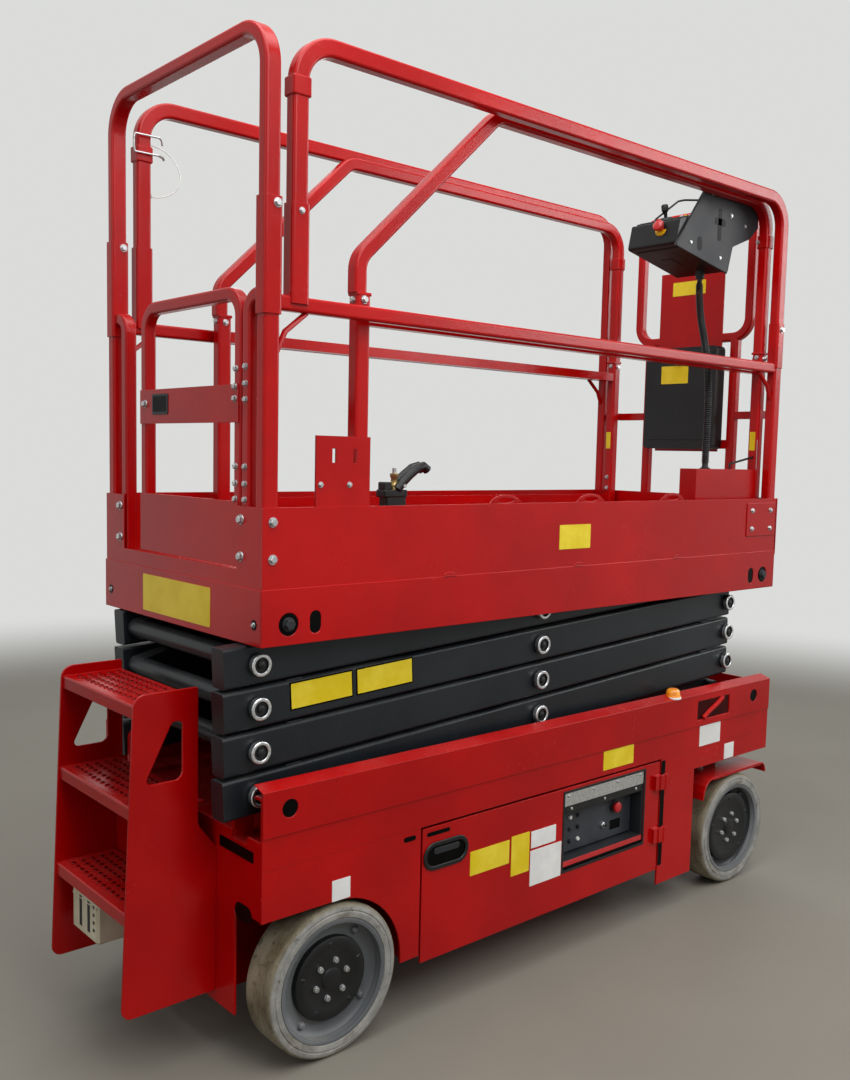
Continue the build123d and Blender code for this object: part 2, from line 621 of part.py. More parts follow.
def straight_post(x, y, z0, z1, across=rail_across, deep=rail_deep):
    """An upright tube, `across` in X and `deep` in Y."""
    return Pos(x, y, (z0 + z1) / 2) * extrude(RectangleRounded(across, deep, rail_corner), amount=(z1 - z0) / 2, both=True)


def rear_hoop():
    """Rear guardrail hoop standing in the corner posts' sockets."""
    top = hoop_top_z - hoop_deep / 2
    points = [(post_x, -post_y, socket_top_z), (post_x, -post_y, top), (post_x, post_y, top),
              (post_x, post_y, socket_top_z)]
    return swept_tube(points, rail_bend, (1, 0, 0), rail_across, hoop_deep)


side_leg_x = rear_x + 89.0


def side_rail(side):
    """Upper side frame of the platform, on sockets above the mid rail."""
    y = side * post_y
    top = (left_rail_top_z if side > 0 else right_rail_top_z) - rail_across / 2
    points = [(side_leg_x, y, side_socket_top_z), (side_leg_x, y, top), (front_post_x, y, top),
              (front_post_x, y, front_socket_top_z)]
    frame = swept_tube(points, rail_bend, (0, 1, 0), rail_deep, rail_across)
    return frame


front_socket_top_z = 1800.0


# --- extension deck ------------------------------------------------------------------------
ext_side_y = post_y - rail_deep / 2 - running_gap        # outer face of the extension's side plates
ext_rail_y = side_y - 70.0
ext_rear_station = 250.0
ext_deck_rear_station = 500.0
ext_deck_z = deck_z + 4 + sheet
ext_toe_z = toe_top_z - 14
ext_post_x = rear_x + 292.0
ext_front_post_x = rear_x + 1921.0
ext_front_x = front_x + extension_nose
ext_rail_top_z = 2198.0
ext_socket_top_z = 1710.0
ext_diagonal_x = rear_x + 700.0
ext_tube = 34.0
cover_rear_station = 1560.0
cover_front_station = 1890.0
cover_width = 60.0
cover_top_z = 1333.0
tie_bottom_z = 1500.0      # ties between the front frame and the extension's front legs
tie_top_z = 1525.0


def extension_deck():
    """Roll-out deck: sheet, side plates, front plate and the raised cover at its right front."""
    half = block(station(ext_rear_station), ext_front_x, ext_side_y - sheet, ext_side_y, ext_deck_z - sheet, ext_toe_z)
    deck = both_sides(half)
    deck += block(station(ext_deck_rear_station), ext_front_x, -ext_side_y + 1, ext_side_y - 1,
                  ext_deck_z - sheet, ext_deck_z)
    deck += block(front_x + running_gap, front_x + running_gap + sheet, -side_y, side_y, ext_deck_z - 40, toe_top_z)
    deck += block(front_x + running_gap, ext_front_x, -ext_side_y, ext_side_y, ext_deck_z - sheet, ext_deck_z)
    cover = block(station(cover_rear_station), station(cover_front_station), -ext_side_y,
                  -ext_side_y + cover_width, ext_deck_z - sheet, cover_top_z)
    return deck + cover


def extension_posts():
    """Fixed lower side frames of the extension, with their mid rails."""
    mid_z = mid_rail_top_z - 4 - rail_deep / 2
    half = straight_post(ext_post_x, ext_rail_y, ext_deck_z, ext_socket_top_z, ext_tube + 4, ext_tube)
    half += straight_post(ext_front_post_x, ext_rail_y, ext_deck_z, ext_socket_top_z, ext_tube, ext_tube)
    half += block(ext_post_x, ext_front_post_x, ext_rail_y - 13, ext_rail_y + 13, mid_z - 14, mid_z + 14)
    # rear feet tie the rear posts to the side plates
    half += block(ext_post_x - 40, ext_post_x + 60, ext_rail_y - 17, ext_side_y - sheet, ext_deck_z, ext_deck_z + 6)
    half += block(ext_post_x - 40, ext_post_x + 60, ext_rail_y + 17, ext_side_y - sheet, ext_deck_z, ext_toe_z)
    half += block(ext_front_post_x - 20, ext_front_post_x + 20, ext_rail_y, ext_side_y - sheet, ext_deck_z, ext_toe_z)
    return both_sides(half)


def extension_rail(side):
    """Upper side rail of the extension: up, along a diagonal, forward under the main rail, down."""
    y = side * ext_rail_y
    top = ext_rail_top_z - ext_tube / 2
    points = [(ext_post_x - 8, y, ext_socket_top_z), (ext_post_x - 8, y, ext_socket_top_z + 75),
              (ext_diagonal_x, y, top), (ext_front_post_x, y, top), (ext_front_post_x, y, ext_socket_top_z)]
    return swept_tube(points, [60, 60, 80], (0, 1, 0), ext_tube, ext_tube)


loop_half_width = 240.0
loop_tube = 30.0
loop_bottom_z = 1760.0
loop_top_z = 2212.0
loop_x = ext_front_x - loop_tube / 2
front_post_y = 175.0
column_half_width = 130.0
column_top_z = 2010.0
document_depth = 50.0
document_half_width = 145.0
document_bottom_z = 1398.0
document_top_z = 1745.0
document_corner = 16.0


def front_frame():
    """Front guardrail of the extension: closed loop on two posts, with the sheet column inside it."""
    low, high = loop_bottom_z + loop_tube / 2, loop_top_z - loop_tube / 2
    reach = loop_half_width - loop_tube / 2
    points = [(loop_x, 0, low), (loop_x, reach, low), (loop_x, reach, high), (loop_x, 0, high)]
    frame = both_sides(swept_tube(points, 60, (1, 0, 0), loop_tube, loop_tube))
    for y in (-front_post_y, front_post_y):
        frame += straight_post(loop_x, y, ext_deck_z, low, loop_tube, loop_tube)
    frame += block(loop_x - loop_tube / 2, loop_x - loop_tube / 2 + 3, -column_half_width, column_half_width,
                   1390, column_top_z)
    frame += block(loop_x - loop_tube / 2, loop_x + 5, -front_post_y, front_post_y, 1400, 1430)
    # ties to the extension's front legs
    frame += both_sides(block(ext_front_post_x + ext_tube / 2, loop_x, ext_rail_y - 12, ext_rail_y + 12,
                              tie_bottom_z, tie_top_z)
                        + block(loop_x - 12, loop_x + 12, front_post_y, ext_rail_y + 12, tie_bottom_z, tie_top_z))
    return frame


def document_box():
    """Closed document holder on the column."""
    x1 = loop_x - loop_tube / 2
    body = block(x1 - document_depth, x1, -document_half_width, document_half_width, document_bottom_z, document_top_z)
    return fillet(body.edges().filter_by(Axis.X), document_corner)


# side outlines, as (station, z) pairs: the box, and the plate that hooks it to the right rail
box_outline = [(1482, 2000), (1747, 1948), (1772, 2062), (1655, 2112), (1499, 2074)]
plate_outline = [(1470, 1992), (1745, 1943), (1768, 2028), (1862, 2066), (1906, 2106), (1904, 2149),
                 (1870, ext_rail_top_z + 4), (1628, ext_rail_top_z + 4)]
bracket_plate = 5.0
control_width = 180.0
hook_reach = 32.0
gland_station = 1715.0
gland_y = -200.0
gland_bottom_z = 1932.0
gland_diameter = 28.0
curl_diameter = 24.0       # outside of the curly control cable's turns


def control_plane():
    """Y of the bracket plate's outer face, on the inner side of the extension's right rail."""
    return -ext_rail_y + ext_tube / 2 + 4


def side_outline(outline):
    """Face in the XZ plane from (station, z) pairs."""
    return make_face(Polyline(*[(station(x), z) for x, z in outline], close=True))


def control_box():
    """Operator's control box on its bracket, with the cable's gland under it."""
    y0 = control_plane() + bracket_plate
    body = upright(side_outline(box_outline), y0 + control_width / 2, control_width)
    body = fillet(body.edges().filter_by(Axis.Y), 8)
    gland_top = 1990.0
    return body + rod((station(gland_station), gland_y, (gland_bottom_z + gland_top) / 2), gland_diameter,
                      gland_top - gland_bottom_z, Axis.Z)


def control_bracket():
    """Plate that hooks the control box over the extension's right rail."""
    y0 = control_plane()
    body = upright(side_outline(plate_outline), y0 + bracket_plate / 2, bracket_plate)
    body += block(station(1660), station(1850), y0 - hook_reach, y0 + bracket_plate, ext_rail_top_z,
                  ext_rail_top_z + 4)
    return body


def hanging_tube(points, diameter):
    """A cord's tube: straight runs joined by the largest tangent arcs that its runs allow."""
    radii = []
    for before, here, after in zip(points, points[1:], points[2:]):
        into, out = Vector(*here) - Vector(*before), Vector(*after) - Vector(*here)
        half_turn = math.radians(into.get_angle(out)) / 2
        radii.append(0.45 * min(into.length, out.length) / math.tan(half_turn))
    path = FilletPolyline(*points, radius=radii)
    section = Plane(origin=path @ 0, z_dir=path % 0) * Circle(diameter / 2)
    print("cord", round(path.length, 1), "mm long, arc radii", [round(r, 1) for r in radii])
    return sweep(section, path=path)


def control_cable():
    """Curly cable from the control box's gland down to the cover's top, as one tube of its outer size."""
    end_y = -ext_side_y + 40
    points = [(station(gland_station), gland_y, gland_bottom_z), (station(gland_station), gland_y, 1845.0),
              (station(1694), -255.0, 1690.0), (station(1674), -281.0, 1560.0), (station(1662), end_y, 1420.0),
              (station(1662), end_y, cover_top_z)]
    return hanging_tube(points, curl_diameter)


lanyard_diameter = 3.0
lanyard_y = side_y - 18.0
# the lanyard's loop, as (ahead of the leg, inboard of its ends, z)
lanyard_loop = [(0, 0, 2122), (28, 0, 2122), (62, 8, 2102), (84, 14, 2062), (74, 14, 2018), (36, 0, 1994),
                (0, 0, 1994)]


def pin_lanyard():
    """Thin coated wire that hangs in a loop on the left side rail's rear leg and keeps its pin."""
    face_x = side_leg_x + rail_across / 2
    return hanging_tube([(face_x + dx, lanyard_y - dy, z) for dx, dy, z in lanyard_loop], lanyard_diameter)


def foot_latch():
    """Foot-operated latch of the extension deck."""
    x = station(600)
    y = -side_y + 300
    body = block(x - 60, x + 20, y - 20, y + 20, ext_deck_z, ext_deck_z + 60)
    body += rod((x, y, ext_deck_z + 100), 16, 90, Axis.Z)
    body += block(x, x + 85, y - 22, y + 22, ext_deck_z + 135, ext_deck_z + 165)
    return body


gate_half_width = 231.0
gate_y = -36.0             # the gate's middle, nearer the right-hand stub post
gate_tube = 28.0
gate_top_z = 1700.0
gate_bottom_z = deck_z + 20.0
gate_hinge_ahead = 10.0    # hinge pins ahead of the gate tube's inner face
gate_hinge_diameter = 14.0


def gate():
    """Entry gate: a hoop with a mid plate, a kick plate and two hinge barrels on its inner side."""
    reach = gate_half_width - gate_tube / 2
    top = gate_top_z - gate_tube / 2
    points = [(post_x, gate_y - reach, gate_bottom_z), (post_x, gate_y - reach, top),
              (post_x, gate_y + reach, top), (post_x, gate_y + reach, gate_bottom_z)]
    body = swept_tube(points, 50, (1, 0, 0), gate_tube, gate_tube, 6)
    face_x = post_x - gate_tube / 2
    y0, y1 = gate_y - gate_half_width + 4, gate_y + gate_half_width - 4
    body += block(face_x - 3, face_x + 1, y0, y1, 1415, 1495)
    body += block(face_x - 3, face_x + 1, y0, y1, gate_bottom_z, toe_top_z + 8)
    pin_x = post_x + gate_tube / 2 + gate_hinge_ahead
    for z in (1300, 1495):
        body += rod((pin_x, gate_hinge_y, z), gate_hinge_diameter, 34, Axis.Z)
        body += block(pin_x - 4, pin_x + 2, gate_hinge_y, y0 + 30, z - 17, z + 17)
        body += block(pin_x - gate_hinge_ahead - 1, pin_x, y0 + 6, y0 + 16, z - 17, z + 17)
    return body


def box_mount():
    """Spare mounting plate for the control box, on the right toe board behind the extension's post."""
    y0 = -side_y + sheet
    body = block(station(133), station(277), y0, y0 + 5, 1160, 1392)
    for x in (station(180), station(235)):
        body -= block(x - 5, x + 5, y0 - 1, y0 + 6, 1335, 1365)
    return body


def build_table():
    """Every node's name and solid."""
    nodes = {
        "chassis_frame": chassis_frame(),
        "rear_axles": rear_axles(),
        "ladder": ladder(),
        "charger_box": charger_box(),
        "beacons": beacons(),
        "platform_frame": platform_frame(),
        "rail_posts": rail_posts(),
        "rear_hoop": rear_hoop(),
        "gate": gate(),
        "box_mount": box_mount(),
        "extension_deck": extension_deck(),
        "extension_posts": extension_posts(),
        "front_frame": front_frame(),
        "document_box": document_box(),
        "control_box": control_box(),
        "control_bracket": control_bracket(),
        "control_cable": control_cable(),
        "pin_lanyard": pin_lanyard(),
        "foot_latch": foot_latch(),
        "cylinder_barrel": cylinder_barrel(),
        "cylinder_rod": cylinder_rod(),
    }
    for level in range(levels):
        nodes[f"outer_arms_{level + 1}"] = outer_arms(level)
        nodes[f"inner_arms_{level + 1}"] = inner_arms(level)
    for name, side in (("right", -1), ("left", 1)):
        nodes[f"tyre_rear_{name}"] = tyre(rear_axle_x, side)
        nodes[f"rim_rear_{name}"] = rim(rear_axle_x, side)
        nodes[f"tyre_front_{name}"] = tyre(front_axle_x, side)
        nodes[f"rim_front_{name}"] = rim(front_axle_x, side)
        nodes[f"knuckle_{name}"] = knuckle(side)
        nodes[f"tray_{name}"] = tray(side)
        nodes[f"ground_panel_{name}"] = ground_panel(side)
        nodes[f"tray_load_{name}"] = tray_load(side)
        nodes[f"side_rail_{name}"] = side_rail(side)
        nodes[f"extension_rail_{name}"] = extension_rail(side)
    return nodes


os.makedirs("parts", exist_ok=True)
for node, solid in build_table().items():
    export_step(solid, f"parts/{node}.step")
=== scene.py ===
import json
import math

import bmesh
import bpy
from mathutils import Matrix, Vector


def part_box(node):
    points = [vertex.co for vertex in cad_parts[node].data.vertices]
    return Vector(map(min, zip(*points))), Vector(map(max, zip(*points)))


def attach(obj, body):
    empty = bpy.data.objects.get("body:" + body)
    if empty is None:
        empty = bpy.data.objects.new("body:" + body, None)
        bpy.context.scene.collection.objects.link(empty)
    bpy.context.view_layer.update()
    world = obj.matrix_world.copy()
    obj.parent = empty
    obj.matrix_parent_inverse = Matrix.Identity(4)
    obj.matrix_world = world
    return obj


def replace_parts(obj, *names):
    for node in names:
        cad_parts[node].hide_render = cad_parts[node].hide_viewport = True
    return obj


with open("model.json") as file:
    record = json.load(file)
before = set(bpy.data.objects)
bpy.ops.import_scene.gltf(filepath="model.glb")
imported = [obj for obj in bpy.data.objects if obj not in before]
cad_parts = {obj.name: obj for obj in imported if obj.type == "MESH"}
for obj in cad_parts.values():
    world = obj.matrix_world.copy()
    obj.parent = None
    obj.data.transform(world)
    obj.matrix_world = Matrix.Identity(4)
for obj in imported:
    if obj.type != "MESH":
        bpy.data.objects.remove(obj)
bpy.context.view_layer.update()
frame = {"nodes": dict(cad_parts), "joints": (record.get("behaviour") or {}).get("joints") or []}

# metres, +Z up, +X towards the steered front; "right" is -Y, the side nearest the camera
platformLow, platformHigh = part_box("platform_frame")
chassisLow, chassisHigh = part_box("chassis_frame")
rearX, frontX, sideY = platformLow.x, platformHigh.x, platformHigh.y
chassisY, chassisTopZ = chassisHigh.y, chassisHigh.z
sideOf = {"right": -1, "left": 1}
joints = {joint["name"]: joint for joint in frame["joints"]}
print("frame loaded:", len(frame["nodes"]), "nodes")


def station(distance):  # X of a point this far ahead of the platform's rear face
    return rearX + distance


# --- camera, light, floor ---

view = {
    "place": (-2.0318, -2.2016, 1.3571),
    "yaw": 48.3817, "pitch": -5.268, "roll": 1.3375,  # degrees; yaw from +X towards +Y
    "focal": 0.972537, "shift": (-0.011398, 0.010769),  # in picture heights
    "sensor": 36.0,
}


def setCamera():
    yaw, pitch, roll = (math.radians(view[key]) for key in ("yaw", "pitch", "roll"))
    ahead = Vector((math.cos(yaw) * math.cos(pitch), math.sin(yaw) * math.cos(pitch), math.sin(pitch)))
    level = Vector((math.sin(yaw), -math.cos(yaw), 0))
    raised = level.cross(ahead)
    across = level * math.cos(roll) + raised * math.sin(roll)
    upright = raised * math.cos(roll) - level * math.sin(roll)
    lens = bpy.data.cameras.new("camera")
    lens.sensor_fit, lens.sensor_height = "VERTICAL", view["sensor"]
    lens.lens = view["focal"] * view["sensor"]
    lens.shift_x, lens.shift_y = view["shift"]
    camera = bpy.data.objects.new("camera", lens)
    axes = Matrix((across, upright, -ahead)).transposed().to_4x4()
    camera.matrix_world = Matrix.Translation(view["place"]) @ axes
    bpy.context.collection.objects.link(camera)
    bpy.context.scene.camera = camera


setCamera()
bpy.context.scene.view_settings.view_transform = "Standard"


# --- node trees: arithmetic on sockets, and one method for every other node ---

def bothWays(operation):  # an operator and its reflected form
    return (lambda wire, other: wire.math(operation, wire, other),
            lambda wire, other: wire.math(operation, other, wire))


class Wire:  # an output socket; arithmetic on it adds Math nodes
    __add__, __radd__ = bothWays("ADD")
    __sub__, __rsub__ = bothWays("SUBTRACT")
    __mul__, __rmul__ = bothWays("MULTIPLY")
    __truediv__, __rtruediv__ = bothWays("DIVIDE")
    __pow__, __rpow__ = bothWays("POWER")

    def __init__(self, graph, socket):
        self.graph, self.socket = graph, socket

    def math(self, operation, *values):
        return self.graph.add("ShaderNodeMath", {"operation": operation}, dict(enumerate(values)))

    def ramp(self, low, high, start=0.0, end=1.0):  # smooth step from low to high
        return self.graph.add("ShaderNodeMapRange", {"interpolation_type": "SMOOTHSTEP"},
                              {0: self, 1: low, 2: high, 3: start, 4: end})


class Graph:  # a node tree under construction
    def __init__(self, tree):
        self.tree = tree

    def add(self, kind, settings=None, sockets=None, out=0):
        node = self.tree.nodes.new(kind)
        for name, value in (settings or {}).items():
            setattr(node, name, value)
        for key, value in (sockets or {}).items():
            if isinstance(value, Wire):
                self.tree.links.new(value.socket, node.inputs[key])
            else:
                node.inputs[key].default_value = value
        return Wire(self, node.outputs[out])

    def mix(self, factor, first, second, blend="MIX"):  # colours
        return self.add("ShaderNodeMix", {"data_type": "RGBA", "blend_type": blend},
                        {0: factor, 6: first, 7: second}, 2)

    def noise(self, place, scale, detail=3.0, roughness=0.5, stretch=None):
        if stretch:
            place = self.add("ShaderNodeMapping", None, {0: place, 3: stretch})
        return self.add("ShaderNodeTexNoise", None,
                        {"Vector": place, "Scale": scale, "Detail": detail, "Roughness": roughness})

    def split(self, vector):
        node = self.tree.nodes.new("ShaderNodeSeparateXYZ")
        self.tree.links.new(vector.socket, node.inputs[0])
        return [Wire(self, output) for output in node.outputs]


def colour(code):  # "rrggbb" as seen, made linear
    parts = [int(code[i:i + 2], 16) / 255 for i in (0, 2, 4)]
    return (*(p / 12.92 if p <= 0.04045 else ((p + 0.055) / 1.055) ** 2.4 for p in parts), 1.0)


stageLook = {
    "wall": colour("dbdcda"), "floor": colour("7b776d"),
    "floorFrom": 3.6, "floorTo": 6.2,  # where the floor fades into the wall's colour
    "floorReach": 9.0, "floorSides": 64, "skyLevel": 0.27,
    "lamps": {  # place, what it points at, size, watts
        "ceilingLight": ((-0.8, -0.9, 4.6), (0, 0, 1.0), (3.6, 3.6), 158),
        "sideLight": ((-0.4, -3.4, 3.6), (0, 0, 1.3), (3.0, 2.0), 74),
        "rearLight": ((-4.2, -0.6, 3.2), (0, 0, 1.5), (2.4, 2.0), 22),
        "backLight": ((2.6, 3.6, 3.4), (0, 0, 1.4), (2.6, 2.6), 40),
        "windowLight": ((4.8, -3.6, 3.1), (0.3, 0, 2.2), (2.8, 2.0), 105),
    },
}


def link(graph, kind, wire):  # the tree's last node
    node = graph.tree.nodes.new(kind)
    graph.tree.links.new(wire.socket, node.inputs[0])


def seenRay(graph):  # 1 for what the camera sees, directly or in a reflection
    node = graph.tree.nodes.new("ShaderNodeLightPath")
    straight, glossy, through = (Wire(graph, node.outputs[name]) for name in
                                 ("Is Camera Ray", "Is Glossy Ray", "Is Transmission Ray"))
    return straight.math("MAXIMUM", straight.math("MAXIMUM", straight, glossy), through)


def surroundings():
    world = bpy.data.worlds.new("studio")
    world.use_nodes = True
    bpy.context.scene.world = world
    graph = Graph(world.node_tree)
    world.node_tree.nodes.clear()
    seen = seenRay(graph)
    shine = graph.add("ShaderNodeBackground", None, {0: (1, 1, 1, 1), 1: stageLook["skyLevel"]})
    plain = graph.add("ShaderNodeBackground", None, {0: stageLook["wall"], 1: 1.0})
    both = graph.add("ShaderNodeMixShader", None, {0: seen, 1: shine, 2: plain})
    link(graph, "ShaderNodeOutputWorld", both)


def softLamp(name, place, target, size, power):
    lamp = bpy.data.lights.new(name, "AREA")
    lamp.shape, lamp.size, lamp.size_y, lamp.energy = "RECTANGLE", size[0], size[1], power
    holder = bpy.data.objects.new(name, lamp)
    holder.location = place
    holder.rotation_euler = (Vector(target) - Vector(place)).to_track_quat("-Z", "Y").to_euler()
    holder.visible_camera = False
    bpy.context.collection.objects.link(holder)


def studioFloor():
    finish = bpy.data.materials.new("floor")
    finish.use_nodes = True
    graph = Graph(finish.node_tree)
    finish.node_tree.nodes.clear()
    place = graph.add("ShaderNodeTexCoord", out=3)
    away = graph.add("ShaderNodeVectorMath", {"operation": "LENGTH"}, {0: place}, 1)
    fade = away.ramp(stageLook["floorFrom"], stageLook["floorTo"])
    mottled = graph.noise(place, 1.3, 4.0, 0.6).ramp(0.3, 0.7, 0.96, 1.03)
    ground = graph.mix(1.0, stageLook["floor"], mottled, "MULTIPLY")
    matt = graph.add("ShaderNodeBsdfPrincipled", None, {"Base Color": ground, "Roughness": 0.6})
    flat = graph.add("ShaderNodeEmission", None, {0: stageLook["wall"], 1: 1.0})
    both = graph.add("ShaderNodeMixShader", None, {0: fade * seenRay(graph), 1: matt, 2: flat})
    link(graph, "ShaderNodeOutputMaterial", both)
    shape = bmesh.new()
    bmesh.ops.create_circle(shape, cap_ends=True, segments=stageLook["floorSides"],
                            radius=stageLook["floorReach"])
    mesh = bpy.data.meshes.new("floor")
    shape.to_mesh(mesh)
    shape.free()
    mesh.materials.append(finish)
    floor = bpy.data.objects.new("floor", mesh)
    bpy.context.collection.objects.link(floor)


surroundings()
studioFloor()
for lampName, lampSettings in stageLook["lamps"].items():
    softLamp(lampName, *lampSettings)
print("camera, light and floor are set")


# --- finishes ---

def newFinish(name):
    finish = bpy.data.materials.new(name)
    finish.use_nodes = True
    finish.node_tree.nodes.clear()
    graph = Graph(finish.node_tree)
    place = graph.add("ShaderNodeTexCoord", out=3)
    return finish, graph, place


def close(finish, graph, sockets):  # the shader and the output; sockets by name
    link(graph, "ShaderNodeOutputMaterial", graph.add("ShaderNodeBsdfPrincipled", None, sockets))
    return finish


def bumped(graph, height, depth, under=None):
    sockets = {"Height": height, "Distance": depth, "Strength": 1.0}
    if under:
        sockets["Normal"] = under
    return graph.add("ShaderNodeBump", None, sockets)


def softEdge(graph, radius):  # worn, rounded edges on sheet metal
    return graph.add("ShaderNodeBevel", {"samples": 4}, {0: radius})


def edgeMask(graph, eased):  # 1 on the rounded edges
    flat = graph.add("ShaderNodeNewGeometry", out=1)
    alike = graph.add("ShaderNodeVectorMath", {"operation": "DOT_PRODUCT"}, {0: eased, 1: flat}, 1)
    return (1 - alike).ramp(0.02, 0.25)


def paint(name, look):
    finish, graph, place = newFinish(name)
    eased = softEdge(graph, look["edge"])
    edges = edgeMask(graph, eased)
    patches = graph.noise(place, 2.4, 4.0, 0.6)
    speckle = graph.noise(place, 38.0, 5.0, 0.7)
    body = graph.mix(patches.ramp(0.35, 0.7), look["dark"], look["light"])
    # thin scratches, longer along the machine
    scratch = graph.noise(place, 26.0, 6.0, 0.75, (0.25, 1.0, 3.2)).ramp(0.70, 0.76)
    rubbed = graph.noise(place, 7.0, 5.0, 0.65).ramp(0.56, 0.72)
    body = graph.mix(scratch * rubbed * look["scratched"], body, look["worn"])
    up = graph.split(graph.add("ShaderNodeNewGeometry", out=1))[2]
    dust = up.ramp(0.3, 1.0) * graph.noise(place, 5.0, 4.0, 0.6).ramp(0.3, 0.75) * look["dust"]
    body = graph.mix(dust, body, colour(look["dustColour"]))
    # the worn colour on the edges: partly worn paint, partly a painted highlight where the edges catch the
    # light
    body = graph.mix(edges * speckle.ramp(0.30, 0.62) * look["edgeWear"], body, look["worn"])
    rough = look["rough"] + speckle.ramp(0.3, 0.8) * 0.07 + dust * 0.5 + rubbed * 0.06
    peel = graph.noise(place, look["peel"], 2.0, 0.5)
    return close(finish, graph, {
        "Base Color": body, "Roughness": rough, "Normal": bumped(graph, peel, look["peelDepth"], eased),
        "Specular IOR Level": look["shine"],
    })


def tones(dark, light, worn, **settings):
    return {"dark": colour(dark), "light": colour(light), "worn": colour(worn), **settings}


# worn: the colour of scratches and of the lighter edges, the edges partly wear and partly a painted highlight
paintLooks = {
    "red_paint": tones("9f0002", "b40304", "cf3a36", dustColour="b98a83", scratched=0.08, dust=0.08,
                       edgeWear=0.28, rough=0.20, shine=0.26, edge=0.0018, peel=260.0, peelDepth=0.00025),
    "dark_paint": tones("12161a", "1b2025", "5a6068", dustColour="6f6e6a", scratched=0.5, dust=0.2,
                        edgeWear=0.5, rough=0.34, shine=0.3, edge=0.0016, peel=240.0, peelDepth=0.00025),
    "grey_paint": tones("54575a", "76797b", "c0c2c3", dustColour="8a7f70", scratched=0.6, dust=0.35,
                        edgeWear=0.5, rough=0.42, shine=0.4, edge=0.001, peel=200.0, peelDepth=0.0003),
}


def metal(name, look):
    finish, graph, place = newFinish(name)
    grain = graph.noise(place, look["grain"], 4.0, 0.6, look["stretch"])
    tarnish = graph.noise(place, 22.0, 4.0, 0.65).ramp(0.42, 0.7)
    tone = graph.mix(grain.ramp(0.3, 0.7), look["dark"], look["light"])
    tone = graph.mix(tarnish * look["tarnish"], tone, look["worn"])
    rough = look["rough"] + grain * 0.12 + tarnish * 0.15
    return close(finish, graph, {
        "Base Color": tone, "Roughness": rough, "Metallic": 1.0 - tarnish * look["tarnish"] * 0.5,
        "Normal": bumped(graph, grain, look["depth"], softEdge(graph, 0.0006)),
    })


metalLooks = {  # worn is the stain's colour
    "steel": tones("9fa1a3", "cfd0d1", "6f6a60", tarnish=0.35, rough=0.26, grain=160.0,
                   stretch=(1, 1, 4), depth=0.00012),
    "ring": tones("b9bbbd", "e6e7e8", "8c8a86", tarnish=0.2, rough=0.22, grain=220.0,
                  stretch=(1, 1, 1), depth=0.0001),
    "chrome_rod": tones("cfd2d4", "e8eaeb", "a9a7a0", tarnish=0.1, rough=0.06, grain=90.0, stretch=(1, 8, 1),
                        depth=0.00004),
    "brass": tones("9a8250", "c9b27a", "6b5c3a", tarnish=0.4, rough=0.28, grain=140.0,
                   stretch=(1, 1, 2), depth=0.0001),
}


def plastic(name, look):
    finish, graph, place = newFinish(name)
    grain = graph.noise(place, look["grain"], 2.0, 0.5)
    patches = graph.noise(place, 6.0, 4.0, 0.65)
    tone = graph.mix(patches.ramp(0.35, 0.7), look["dark"], look["light"])
    eased = softEdge(graph, look["edge"])
    # the worn colour on the edges: partly wear, partly a painted highlight along the edges
    tone = graph.mix(edgeMask(graph, eased) * graph.noise(place, 60.0).ramp(0.35, 0.6) * look["edgeWear"],
                     tone, look["worn"])
    rough = look["rough"] + patches.ramp(0.3, 0.7) * 0.1
    return close(finish, graph, {
        "Base Color": tone, "Roughness": rough, "Normal": bumped(graph, grain, look["depth"], eased),
        "Coat Weight": look.get("coat", 0.0), "Specular IOR Level": 0.35,
    })


# worn: the lighter edge colour, partly wear and partly a painted highlight
plasticLooks = {
    "black_plastic": tones("0b0c0d", "151618", "3a3d40", edgeWear=0.5, rough=0.38, grain=700.0, depth=0.00012,
                           edge=0.0012),
    "cream_plastic": tones("c9c0a6", "dcd6c4", "f0ece0", edgeWear=0.4, rough=0.42, grain=500.0, depth=0.0001,
                           edge=0.001),
    "battery": tones("1b1d20", "26292d", "50545a", edgeWear=0.4, rough=0.5, grain=300.0, depth=0.0003,
                     edge=0.002),
    "redPlastic": tones("b3141a", "cc1d22", "e0605c", edgeWear=0.2, rough=0.28, grain=300.0, depth=0.00004,
                        edge=0.0008, coat=0.4),
    "yellowPlastic": tones("d9a800", "efc21a", "f5dd7a", edgeWear=0.2, rough=0.35, grain=300.0, depth=0.00004,
                           edge=0.0008),
    "displayGrey": tones("2d3035", "3a3e45", "6a6f77", edgeWear=0.2, rough=0.35, grain=400.0, depth=0.00006,
                         edge=0.0006),
    "whiteCoating": tones("d6d6d2", "ececea", "ffffff", edgeWear=0.1, rough=0.35, grain=300.0, depth=0.00005,
                          edge=0.0003),
}


def vinyl(name, base, faded, shine):  # printed film, left blank
    finish, graph, place = newFinish(name)
    patches = graph.noise(place, 14.0, 4.0, 0.6)
    specks = graph.noise(place, 190.0, 4.0, 0.7).ramp(0.66, 0.74)
    tone = graph.mix(patches.ramp(0.35, 0.75), base, faded)
    tone = graph.mix(specks * 0.35, tone, colour("8b8579"))
    return close(finish, graph, {"Base Color": tone, "Roughness": 0.30 + patches * 0.15,
                                 "Specular IOR Level": shine,
                                 "Normal": bumped(graph, patches, 0.0003)})


